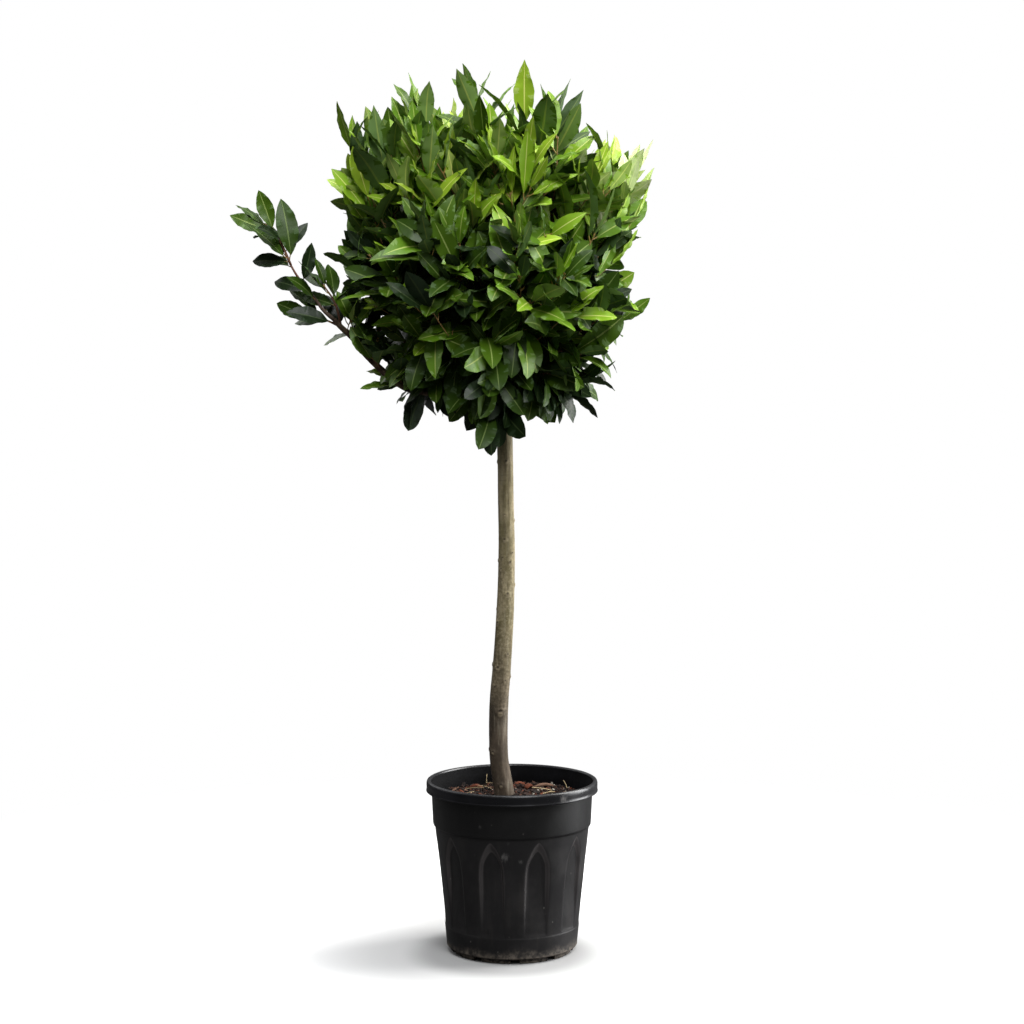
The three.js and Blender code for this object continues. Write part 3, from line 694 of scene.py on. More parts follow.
def make_bark():
    # grey-brown bark: olive and paler high up, browner low down; the dark low part is partly its own colour and partly
    # painted shade
    m, tree, p = principled("bark_stem", lin(110, 100, 80), 0.78, Specular_IOR_Level=0.3)
    n = Net(tree)
    here = n.object()
    z = n.split(here)[2]
    high = n.span(z, 0.36, 0.56)
    long_ = n.noise(n.scaled(here, (150, 150, 12)), 1.0, 5, 0.62)
    blotch = n.noise(n.scaled(here, (1, 1, 0.45)), 30, 4, 0.6)
    fine = n.noise(n.scaled(here, (520, 520, 160)), 1.0, 3, 0.6)
    ring = n.noise(n.scaled(here, (26, 26, 300)), 1.0, 3, 0.6)
    low_c = n.mix(n.span(blotch, 0.34, 0.66), lin(46, 38, 31), lin(86, 75, 62))
    high_c = n.mix(n.span(blotch, 0.34, 0.66), lin(100, 92, 62), lin(146, 134, 106))
    base = n.mix(high, low_c, high_c)
    base = n.mix(n.math("MULTIPLY", n.span(long_, 0.50, 0.68), 0.60), base, lin(64, 56, 42))
    base = n.mix(n.math("MULTIPLY", n.span(long_, 0.46, 0.30), 0.40), base, lin(158, 152, 132))
    base = n.mix(n.math("MULTIPLY", n.span(ring, 0.55, 0.70), 0.30), base, lin(60, 50, 40))
    mottle = n.noise(here, 230, 4, 0.68)
    rough_part = n.math("MULTIPLY_ADD", n.math("MULTIPLY", n.span(z, 0.36, 0.43), n.span(z, 0.68, 0.60)), 0.72)
    rough_part.node.inputs[2].default_value = 0.28
    base = n.mix(n.math("MULTIPLY", n.span(mottle, 0.50, 0.60), n.math("MULTIPLY", rough_part, 0.46)), base, n.mix(high, lin(48, 40, 30), lin(86, 78, 50)))
    base = n.mix(n.math("MULTIPLY", n.span(mottle, 0.47, 0.38), n.math("MULTIPLY", rough_part, 0.38)), base, n.mix(high, lin(112, 100, 82), lin(170, 160, 130)))
    # dark eyes and pale lower lips of the old leaf scars
    eye, lip = 0.0, 0.0
    for z0, deg, size in KNOTS:
        girth = np.interp(z0 / MM, [q[2] for q in STEM], [q[3] for q in STEM]) * MM + 0.0008 * size
        at = stem_at(z0 / MM) + np.array([math.cos(math.radians(deg)), math.sin(math.radians(deg)), 0]) * girth
        for low, wide in ((0.0005, 0.0027), (-0.0034, 0.0040)):
            near = n.new("ShaderNodeVectorMath", operation="DISTANCE")
            n.put(near.inputs[0], here)
            near.inputs[1].default_value = (float(at[0]), float(at[1]), float(at[2] + low * size))
            mark = n.span(near.outputs["Value"], wide * size, wide * size * 0.45)
            if low > 0:
                eye = n.math("MAXIMUM", eye, mark)
            else:
                lip = n.math("MAXIMUM", lip, mark)
    base = n.mix(n.math("MULTIPLY", lip, 0.45), base, lin(166, 152, 126))
    base = n.mix(n.math("MULTIPLY", eye, 0.70), base, lin(40, 31, 24))
    base = n.mix(n.math("MULTIPLY", n.span(fine, 0.55, 0.75), 0.35), base, lin(60, 52, 42))
    inner = n.span(z, 0.845, 0.90)
    base = n.mix(n.math("MULTIPLY", inner, 0.75), base, n.mix(blotch, lin(52, 38, 30), lin(84, 64, 50)))
    foot = n.span(z, 0.275, 0.252)
    base = n.mix(n.math("MULTIPLY", foot, 0.6), base, lin(58, 46, 36))
    n.put(p.inputs["Base Color"], base)
    n.put(p.inputs["Roughness"], n.span(long_, 0.3, 0.7, 0.66, 0.86))
    height = n.math("ADD", n.math("MULTIPLY", long_, 1.0), n.math("MULTIPLY", fine, 0.6))
    height = n.math("ADD", n.math("ADD", height, n.math("MULTIPLY", mottle, 0.9)), n.math("MULTIPLY", ring, 0.5))
    n.put(p.inputs["Normal"], n.bump(height, 0.55, 0.0009))

    ridge = wave_field(5, 26, 1.0)
    lump = wave_field(6, 12, 1.0)
    fine_f = wave_field(7, 30, 1.0)

    def relief(th, run, at):
        c, s = np.cos(th), np.sin(th)
        q = np.stack([c * 9, s * 9, at[..., 2] * 42], -1)
        g = np.stack([c * 3.2, s * 3.2, at[..., 2] * 17], -1)
        f = np.stack([c * 26, s * 26, at[..., 2] * 330], -1)
        out = 0.00026 * ridge(q) + 0.00050 * lump(g) + 0.00010 * fine_f(f)
        for z0, deg, size in KNOTS:
            d = (np.degrees(th) - deg + 180) % 360 - 180
            u = np.radians(d) * 0.0145
            w = at[..., 2] - z0
            bump = np.exp(-((u / (0.0048 * size)) ** 2) - (w / (0.0040 * size)) ** 2)
            dent = np.exp(-((u / (0.0022 * size)) ** 2) - ((w - 0.0005) / (0.0014 * size)) ** 2)
            brow = np.exp(-((u / (0.0060 * size)) ** 2) - ((w - 0.0042 * size) / (0.0010)) ** 2)
            out = out + size * (0.0024 * bump - 0.0019 * dent - 0.0006 * brow)
        foot = np.exp(-np.maximum(at[..., 2] - 0.252, 0) / 0.012)
        return out + foot * (0.0008 * (np.cos(3 * th + 2.2) + 0.5 * np.cos(5 * th)) - 0.0009)

    ts = even_shares(STEM, 560)
    pts, rad = spline(STEM, ts)
    co, q, t = tube(pts, rad, 64, relief)
    stem = mesh_of("stem_bark", co, q, t, [m])
    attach(stem, "root")
    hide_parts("stem")

    m2, tree, p = principled("bark_bough", lin(84, 66, 50), 0.75, Specular_IOR_Level=0.3)
    n = Net(tree)
    here = n.object()
    a = n.noise(here, 70, 5, 0.62)
    b = n.noise(here, 420, 3, 0.6)
    base = n.mix(n.span(a, 0.35, 0.68), lin(62, 46, 36), lin(112, 94, 72))
    base = n.mix(n.math("MULTIPLY", n.span(b, 0.52, 0.75), 0.5), base, lin(50, 38, 30))
    n.put(p.inputs["Base Color"], base)
    n.put(p.inputs["Normal"], n.bump(n.math("ADD", a, n.math("MULTIPLY", b, 0.5)), 0.5, 0.0008))
    limbs = Soup()

    def rough_limb(path, count, sides):
        pts, rad = spline(path, even_shares(path, count))

        def r2(th, run, at):
            return 0.00022 * ridge(at * 330) + 0.00028 * lump(at * 90)

        co, q, t = tube(pts, rad, sides, r2)
        limbs.add(co, q, t)

    names = []
    for name, path in bough_paths().items():
        rough_limb(path, 46, 20)
        names.append("bough_" + name)
    whole = LONG[:-1] + [(-216.2, -40, 955.2, 5.18)] + LONG_UP[1:]
    rough_limb(whole, 150, 20)
    names += ["bough_far_left", "bough_far_left_rise"]
    ob = limbs.build("bough_bark", [m2])
    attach(ob, "root")
    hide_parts(*names)


make_bark()

# ---------------------------------------------------------------- crown: where the shoots stand
HEART = np.array([-0.032, 0.0, 1.06])
UP = np.array([0.0, 0.0, 1.0])
GAP_TIP, GAP_OUTER, GAP_INNER = 0.044, 0.056, 0.066  # least distances between shoots
EDGE_LOW, EDGE_HIGH = -0.004, 0.014  # how far out of its mass a leaf may reach
BODY = [k for k in MASS if not k.startswith("far_left")]
M_AT = np.array([MASS[k][0] for k in BODY], float) * MM
M_HALF = np.array([MASS[k][1] for k in BODY], float) * MM
FAR = [k for k in MASS if k.startswith("far_left")]
F_AT = np.array([MASS[k][0] for k in FAR], float) * MM
F_HALF = np.array([MASS[k][1] for k in FAR], float) * MM
LOW_Z, HIGH_Z = 0.85, 1.43
# how far the outline swells (m) at a height, on the right and on the left
SWELL_Z = [0.90, 0.97, 1.05, 1.12, 1.19, 1.26, 1.34]
SWELL_RIGHT = [-0.002, 0.006, 0.014, 0.006, -0.016, -0.006, 0.004]
SWELL_LEFT = [-0.016, -0.010, 0.002, 0.012, 0.002, -0.010, 0.004]


def solid_tips(names):
    """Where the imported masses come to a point: the tips of their leading shoots."""
    found = []
    for name in names:
        me = frame["nodes"]["leaves_" + name].data
        co = np.empty(len(me.vertices) * 3, np.float32)
        me.vertices.foreach_get("co", co)
        corner = np.empty(len(me.loops), np.int32)
        me.loops.foreach_get("vertex_index", corner)
        co = co.reshape(-1, 3).astype(float)
        _, first, back = np.unique(np.round(co * 2e4).astype(int), axis=0, return_index=True, return_inverse=True)
        p, tri = co[first], np.ravel(back)[corner].reshape(-1, 3)
        r = np.linalg.norm(p - np.array(MASS[name][0]) * MM, axis=1)
        top, total, count = np.zeros(len(p)), np.zeros(len(p)), np.zeros(len(p))
        for a, b in ((0, 1), (1, 2), (2, 0), (1, 0), (2, 1), (0, 2)):
            np.maximum.at(top, tri[:, a], r[tri[:, b]])
            np.add.at(total, tri[:, a], r[tri[:, b]])
            np.add.at(count, tri[:, a], 1)
        found.append(p[(r > top) & (r - total / count > 0.010)])
    return np.concatenate(found)


def swell(p):
    side = float(np.clip((p[0] - HEART[0]) / 0.16, -1, 1))
    return abs(side) * float(np.interp(p[2], SWELL_Z, SWELL_RIGHT if side > 0 else SWELL_LEFT))


def norm_in(p):
    """For each place and mass, 0 at the mass's centre and 1 on its surface."""
    return np.sqrt((((p[:, None, :] - M_AT) / M_HALF) ** 2).sum(-1))


def thin_out(points, keep, gap):
    """Dart throwing: drops each point nearer than gap to one already kept."""
    kept = list(keep)
    out = []
    for p, g in zip(points, gap):
        if not kept or (np.linalg.norm(np.array(kept) - p, axis=1) > g).all():
            kept.append(p)
            out.append(p)
    return np.array(out)


def on_masses(rng, each, near, far, clear):
    """Seeded places at a share near..far of the way out of each mass, clear of its neighbours."""
    found = []
    for i in range(len(BODY)):
        d = unit(rng.normal(size=(each, 3)))
        p = M_AT[i] + M_HALF[i] * d * rng.uniform(near, far, (each, 1))
        n = norm_in(p)
        n[:, i] = 9
        found.append(p[n.min(1) > clear])
    found = np.concatenate(found)
    return found[rng.permutation(len(found))]


def shoot_places(rng):
    tips = solid_tips(BODY)
    tips = tips[norm_in(tips).min(1) > 0.98]
    tips = tips[np.argsort(-norm_in(tips).min(1), kind="stable")]
    tips = thin_out(tips, np.zeros((0, 3)), np.full(len(tips), GAP_TIP))
    clump = wave_field(21, 9, 24.0)
    outer = on_masses(rng, 260, 0.72, 0.98, 0.88)
    gap = GAP_OUTER + 0.015 * clump(outer) + 0.007 * smooth(1.24, 1.40, outer[:, 2]) + 0.016 * smooth(1.03, 0.93, outer[:, 2])
    outer = thin_out(outer, tips, gap)
    # those near the top stand lower than the leading ones, each by its own step
    drop = smooth(1.25, 1.37, outer[:, 2]) * rng.uniform(0.015, 0.100, len(outer))
    outer[:, 2] -= drop
    # a second storey of shorter shoots under the first, painted darker as shade
    inner = on_masses(rng, 160, 0.42, 0.76, 0.80)
    inner = thin_out(inner, np.zeros((0, 3)), GAP_INNER + 0.022 * smooth(1.03, 0.93, inner[:, 2]))
    return tips, outer, inner


def outward(p):
    h = (p - HEART) * np.array([1, 1, 0.0])
    r = np.linalg.norm(h)
    return h / max(r, 1e-6), r


class Shoot:
    """One leafy twig: its apex, direction and vigour."""

    def __init__(self, place, kind, rng):
        self.kind = kind  # "tip", "outer", "inner" or "side"
        self.place = np.array(place)
        h = float(np.clip((place[2] - LOW_Z) / (HIGH_Z - LOW_Z), 0, 1))
        self.h = h
        out, r = outward(place)
        side = np.interp(h, [0, 0.2, 0.45, 0.7, 0.85, 1], [0.9, 1.0, 1.0, 0.75, 0.50, 0.32]) * min(1.0, r / 0.16)
        rise = np.interp(h, [0, 0.10, 0.22, 0.4, 0.6, 0.8, 1], [-0.75, -0.30, 0.25, 0.66, 1.05, 1.35, 1.5])
        d = out * side + UP * rise + rng.normal(size=3) * 0.20
        if h < 0.16:
            low = unit((place - np.array([-0.020, 0.0, 0.955])) * np.array([0.6, 0.6, 1.2])) + rng.normal(size=3) * 0.10
            d = unit(d) * smooth(0.10, 0.16, h) + unit(low) * (1 - smooth(0.10, 0.16, h))
        self.dir = unit(d)
        self.out = unit(place - HEART)
        self.tone = None
        self.edge = {"tip": 0.012, "outer": rng.uniform(-0.020, 0.014), "inner": -0.010}.get(kind, 0.018)
        full = np.interp(h, [0, 0.25, 0.6, 1], [0.078, 0.084, 0.092, 0.104])
        if kind == "inner":
            full *= 0.92
        self.leaf = full * rng.uniform(0.84, 1.12)
        reach = np.interp(h, [0, 0.3, 0.6, 0.85, 1], [0.55, 0.42, 0.55, 0.78, 0.88]) * self.leaf
        if kind == "inner":
            reach *= 0.5
        if kind == "tip":
            reach = 0.93 * self.leaf
        self.apex = place - self.dir * reach
        length = np.interp(h, [0, 0.4, 1], [0.085, 0.105, 0.150]) * rng.uniform(0.8, 1.25)
        if kind == "inner":
            length *= 0.75
        if h < 0.12:
            length *= 0.6
        self.length = length
        lean = unit(self.dir * 0.55 + self.out * 0.55 + rng.normal(size=3) * 0.12)
        self.base = self.apex - (self.dir * 0.55 + lean * 0.45) * length
        self.base_dir = unit(self.dir * 0.45 + self.out * 0.75)
        if h < 0.14:
            self.base, self.base_dir = self.apex - self.dir * length, self.dir


class Tree:
    """Nodes with parents, grown out from the ends of the boughs."""

    def __init__(self):
        self.p, self.d, self.parent, self.r, self.chains, self.cap = [], [], [], [], [], []

    def node(self, p, d, parent, cap=0.0):
        self.p.append(np.array(p, float))
        self.d.append(unit(d))
        self.parent.append(parent)
        self.r.append(0.0)
        self.cap.append(cap)
        return len(self.p) - 1


def bezier(a, da, b, db, count):
    """Points from a to b that leave along da and arrive along db."""
    g = np.linalg.norm(b - a) * 0.38
    t = np.linspace(0, 1, count)[:, None]
    c1, c2 = a + da * g, b - db * g
    return (1 - t) ** 3 * a + 3 * (1 - t) ** 2 * t * c1 + 3 * (1 - t) * t**2 * c2 + t**3 * b


def grow(shoots, rng):
    tree = Tree()
    for name, path in bough_paths().items():
        pts, rad = spline(path, even_shares(path, 14))
        for i in (7, 9, 11, 12):
            tree.node(pts[i], pts[i + 1] - pts[i], -1, rad[i])
        tree.node(pts[-1] - (pts[-1] - pts[-2]) * 0.2, pts[-1] - pts[-2], -1, rad[-1])
    pts, rad = spline(STEM, np.linspace(0.72, 1, 16))
    for i in range(len(pts) - 1):
        tree.node(pts[i], pts[i + 1] - pts[i], -1, rad[i])
    tree.node(pts[-1] - (pts[-1] - pts[-2]) * 0.05, pts[-1] - pts[-2], -1, rad[-1])
    pts, rad = spline(LONG, even_shares(LONG, 30))
    for i in range(12, 30, 2):
        tree.node(pts[i], pts[min(i + 1, 29)] - pts[min(i, 28)], -1, rad[i])
    roots = len(tree.p)
    start = np.array(tree.p)
    order = np.argsort([np.linalg.norm(start - s.base, axis=1).min() for s in shoots])
    for k in order:
        s = shoots[k]
        P, D = np.array(tree.p), np.array(tree.d)
        v = s.base - P
        dist = np.linalg.norm(v, axis=1)
        vn = v / np.maximum(dist, 1e-6)[:, None]
        turn = 1 - (vn * D).sum(1)
        enter = 1 - (vn * s.base_dir).sum(1)
        free = np.where(np.array(tree.parent) < 0, 0.0, -0.012)
        cost = dist * (1 + 0.55 * turn + 0.45 * enter) + free + np.where(dist < 0.012, 0.05, 0)
        j = int(np.argmin(cost))
        if dist[j] > 0.004:
            n = max(3, int(dist[j] / 0.011) + 2)
            first = unit(D[j] * 0.5 + vn[j] * 0.8)
            way = bezier(P[j], first, s.base, s.base_dir, n)
        else:
            way = np.array([P[j], s.base])
        wob = rng.normal(size=(len(way), 3)) * 0.0010
        wob[0] = 0
        wob[-1] = 0
        way = way + wob
        run = bezier(s.base, s.base_dir, s.apex, s.dir, max(6, int(s.length / 0.0085)))
        line = np.concatenate([way, run[1:]])
        last = j
        ids = [j]
        for i in range(1, len(line)):
            d = line[min(i + 1, len(line) - 1)] - line[i - 1]
            last = tree.node(line[i], d, last)
            ids.append(last)
        s.line = line
        s.own = len(run)
        tree.chains.append((ids, s))
    # thickness: what each node carries, from the tips back
    power = np.zeros(len(tree.p))
    for ids, s in tree.chains:
        power[ids[-1]] += (0.00085 if s.h < 0.8 else 0.00095) ** 2.3
    for i in range(len(tree.p) - 1, roots - 1, -1):
        power[i] *= 1.012
        tree.r[i] = min(power[i] ** (1 / 2.3) + 0.00005, 0.0042)
        if tree.parent[i] >= 0:
            power[tree.parent[i]] += power[i]
    for i in range(len(tree.p)):
        if tree.parent[i] >= 0 and tree.cap[tree.parent[i]] and tree.r[i] > tree.cap[tree.parent[i]] * 0.9:
            tree.r[i] = tree.cap[tree.parent[i]] * 0.9
    return tree


# ---------------------------------------------------------------- leaves
# leaf tones are partly the leaves' own colours, young ones yellow-green and old ones dark; the whitish tones are
# painted light, a glow and sheen, and the darkest also stand for painted shade
#            upper side        underside         midrib
LEAF_TONES = {
    "painted_sheen": ((164, 182, 112), (198, 208, 162), (222, 224, 184)),
    "pale": ((156, 178, 92), (172, 188, 122), (208, 212, 152)),
    "lime": ((138, 168, 44), (160, 182, 88), (208, 212, 116)),
    "fresh": ((114, 148, 34), (138, 162, 82), (182, 192, 106)),
    "green": ((82, 116, 24), (112, 140, 72), (152, 168, 86)),
    "deep": ((60, 86, 16), (88, 114, 60), (122, 140, 72)),
    "dark": ((42, 64, 13), (64, 86, 48), (92, 110, 56)),
    "shade": ((24, 38, 16), (36, 52, 30), (54, 68, 38)),
}
TONES = list(LEAF_TONES)
LEAF_MATS = []
for _name, (_top, _under, _rib) in LEAF_TONES.items():
    _old = _name in ("deep", "dark", "shade")  # older leaves are glossier
    for _part, _c, _r in (("top", _top, 0.35 if _old else 0.36), ("under", _under, 0.62), ("rib", _rib, 0.5)):
        _m, _, _p = principled(f"leaf_{_name}_{_part}", lin(*_c), _r, Specular_IOR_Level=(0.16 if _old else 0.22) if _part == "top" else 0.20)
        LEAF_MATS.append(_m)
LEAF_MATS.append(principled("leaf_stalk", lin(142, 116, 58), 0.5)[0])
LEAF_MATS.append(principled("leaf_stalk_dark", lin(92, 74, 42), 0.5)[0])

LEAF_ROWS = 16
TOP_U = np.array([-1, -0.62, -0.062, 0.062, 0.62, 1.0])
LOW_U = np.array([-1, -0.085, 0.085, 1.0])


class Leaves:
    """All the leaves, kept as columns of numbers until they are meshed together."""

    COLS = ("x", "y", "z", "lx", "ly", "lz", "nx", "ny", "nz", "L", "W", "curl", "fold", "twist", "amp", "ph1", "ph2", "form", "tone", "stalk", "px", "py", "pz", "piece", "dark")

    def __init__(self):
        self.rows = []

    def add(self, **k):
        self.rows.append([k[c] for c in self.COLS])

    def table(self):
        a = np.array(self.rows, float)
        return {c: a[:, i] for i, c in enumerate(self.COLS)}


def put_leaf(store, foot, stalk_from, l, n, L, W, rng, tone, piece, form=0.0, curl=None, fold=None, twist=None, amp=None, stalk=0.008, dark=0):
    l = unit(l)
    n = unit(n - l * np.dot(n, l))
    store.add(
        x=foot[0], y=foot[1], z=foot[2], lx=l[0], ly=l[1], lz=l[2], nx=n[0], ny=n[1], nz=n[2], L=L, W=W,
        curl=rng.normal(0.35, 0.28) if curl is None else curl,
        fold=abs(rng.normal(0.26, 0.12)) if fold is None else fold,
        twist=rng.normal(0, 0.28) if twist is None else twist,
        amp=rng.uniform(0.0004, 0.0015) * (L / 0.07) if amp is None else amp,
        ph1=rng.uniform(0, 6.283), ph2=rng.uniform(0, 6.283), form=form, tone=tone, stalk=stalk,
        px=stalk_from[0], py=stalk_from[1], pz=stalk_from[2], piece=piece, dark=dark,
    )


def blades(t, rows):
    """Top and under surfaces of many leaves at once: (n, rows+1, columns, 3) each."""
    s = np.linspace(0, 1, rows + 1)
    s = s + 0.035 * np.sin(2 * math.pi * s)  # a little closer at the ends
    g = lambda k: t[k][:, None, None]
    form = t["form"][:, None]
    a, b = 0.92 - 0.14 * form, 1.02 - 0.40 * form
    peak = a / (a + b)
    w = s[None, :] ** a * (1 - s[None, :]) ** b / (peak**a * (1 - peak) ** b)
    w = w * (1 + 0.022 * np.sin(2 * math.pi * 6.1 * s[None, :] + t["ph1"][:, None]))
    half = np.maximum(w * t["W"][:, None] / 2, 0.00028)
    half[:, 0] = np.maximum(half[:, 0], 0.0008)
    out = []
    S = s[None, :, None]
    env = np.sqrt(np.clip(4 * S * (1 - S), 0, 1))
    for U, under in ((TOP_U, False), (LOW_U, True)):
        u = U[None, None, :]
        hw = half[:, :, None]
        fold = g("fold") * (1 - 0.55 * S)
        x = u * hw * np.cos(fold)
        z = np.abs(u) * hw * np.sin(fold)
        ph = np.where(u > 0, g("ph1"), g("ph2"))
        z = z + g("amp") * np.abs(u) ** 2.4 * env * (np.sin(2 * math.pi * 3.1 * S + ph) + 0.5 * np.sin(2 * math.pi * 5.7 * S + 1.7 * ph))
        z = z + 0.00007 * np.sin(2 * math.pi * 7 * (S - 0.10 * np.abs(u))) * env * (np.abs(u) > 0.3) * (np.abs(u) < 0.9)
        if under:
            z = z - 0.00038 * (1 - np.abs(u) ** 4) - 0.0006 * (np.abs(u) < 0.2) * (1.05 - S)
        else:
            z = z + 0.00016 * (np.abs(u) < 0.2) * (1.0 - S)
        tw = g("twist") * (S - 0.15)
        x, z = x * np.cos(tw) + z * np.sin(tw), -x * np.sin(tw) + z * np.cos(tw)
        bend = g("curl") * S**1.3
        ds = np.diff(s, prepend=0)[None, :, None]
        yc = np.cumsum(np.cos(bend) * ds, axis=1) * g("L")
        zc = -np.cumsum(np.sin(bend) * ds, axis=1) * g("L")
        y = yc + z * np.sin(bend)
        z = zc + z * np.cos(bend)
        l = np.stack([t["lx"], t["ly"], t["lz"]], -1)[:, None, None, :]
        n = np.stack([t["nx"], t["ny"], t["nz"]], -1)[:, None, None, :]
        b = np.cross(l, n)
        foot = np.stack([t["x"], t["y"], t["z"]], -1)[:, None, None, :]
        out.append(foot + b * x[..., None] + l * y[..., None] + n * z[..., None])
    return out


def stalks(t, sides=5):
    a = np.stack([t["px"], t["py"], t["pz"]], -1)
    b = np.stack([t["x"], t["y"], t["z"]], -1)
    l = np.stack([t["lx"], t["ly"], t["lz"]], -1)
    b = b + l * 0.0025
    n = np.stack([t["nx"], t["ny"], t["nz"]], -1)
    b = b - n * 0.0003
    mid = (a + b) / 2 - n * 0.0008
    line = np.stack([a, mid, b], 1)
    ax = unit(b - a)
    s1 = unit(np.cross(ax, n) + 1e-9)
    s2 = np.cross(ax, s1)
    k = np.arange(sides) * 2 * math.pi / sides
    ring = s1[:, None, None, :] * np.cos(k)[None, None, :, None] + s2[:, None, None, :] * np.sin(k)[None, None, :, None]
    r = np.array([0.00105, 0.00085, 0.00075])[None, :, None, None] * (0.7 + 0.3 * (t["L"] / 0.07))[:, None, None, None]
    return line[:, :, None, :] + ring * r


def mesh_leaves(name, t, rows, *nodes):
    count = len(t["L"])
    top, low = blades(t, rows)
    st = stalks(t)
    co, quads, index = [], [], []
    n0 = 0
    for grid, flip, ribs in ((top, False, (2,)), (low, True, (1,))):
        c = grid.shape[2]
        i, j = np.meshgrid(np.arange(rows), np.arange(c - 1), indexing="ij")
        q = np.stack([i * c + j, i * c + j + 1, (i + 1) * c + j + 1, (i + 1) * c + j], -1).reshape(-1, 4)
        if flip:
            q = q[:, ::-1]
        kind = np.where(np.isin(j.ravel(), ribs), 2, 1 if flip else 0)
        per = (rows + 1) * c
        quads.append((q[None] + (np.arange(count) * per)[:, None, None] + n0).reshape(-1, 4))
        index.append((t["tone"].astype(int)[:, None] * 3 + kind[None, :]).ravel())
        co.append(grid.reshape(-1, 3))
        n0 += count * per
    c = st.shape[2]
    i, j = np.meshgrid(np.arange(2), np.arange(c), indexing="ij")
    q = np.stack([i * c + j, i * c + (j + 1) % c, (i + 1) * c + (j + 1) % c, (i + 1) * c + j], -1).reshape(-1, 4)
    quads.append((q[None] + (np.arange(count) * 3 * c)[:, None, None] + n0).reshape(-1, 4))
    index.append(np.repeat(len(TONES) * 3 + t["dark"].astype(int), len(q)))
    co.append(st.reshape(-1, 3))
    co, quads, index = np.concatenate(co), np.concatenate(quads), np.concatenate(index)
    used = np.unique(index)
    ob = mesh_of(name, co, quads, (), [LEAF_MATS[k] for k in used], np.searchsorted(used, index))
    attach(ob, "root")
    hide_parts(*["leaves_" + k for k in nodes])
    return ob


PIECES = [
    ("foliage_top_front", ("top_left", "top_middle", "top_right")),
    ("foliage_top_sides", ("upper_left", "upper_right")),
    ("foliage_top_back", ("top_back_left", "top_back_right")),
    ("foliage_mid_front", ("mid_front_left", "mid_front_right")),
    ("foliage_mid_sides", ("mid_left", "mid_right")),
    ("foliage_mid_back", ("mid_back_left", "mid_back_right")),
    ("foliage_low", ("low_left", "low_front", "low_right", "low_back")),
    ("foliage_far_left", ("far_left_low", "far_left_high")),
]
PIECE_OF = {m: i for i, (_, ms) in enumerate(PIECES) for m in ms}


LADDER = ["shade", "dark", "deep", "green", "fresh", "lime", "pale", "painted_sheen"]


def pick_tone(h, kind, right, front, rng):
    """A spray's colour: young and pale high up, dark low down and inside; paler towards the lit right and front as
    painted light, darker low down and inside partly as painted shade.
    """
    v = np.interp(h, [0, 0.1, 0.2, 0.27, 0.38, 0.5, 0.6, 0.7, 0.8, 0.9, 1], [0.06, 0.13, 0.30, 0.43, 0.37, 0.36, 0.57, 0.79, 0.81, 0.74, 0.57])
    # painted light: sprays on the lit right and front side get paler tones
    v += 0.10 * right * smooth(0.45, 0.9, h) + 0.07 * max(front, 0) * smooth(0.3, 0.6, h) + rng.normal(0, 0.125)
    # painted shade: inner sprays get darker tones
    if kind == "inner":
        v -= 0.26
    v = min(v, 0.40 + 1.4 * h)
    i = int(np.searchsorted([0.12, 0.28, 0.44, 0.62, 0.84], v))
    if i == 5:
        # the youngest are yellow-green in the middle; towards the light they take whitish tones, a painted glow and
        # sheen
        i = 5 if rng.random() > 0.35 + 0.6 * right else (7 if rng.random() < 0.25 + 0.45 * right else 6)
    return i


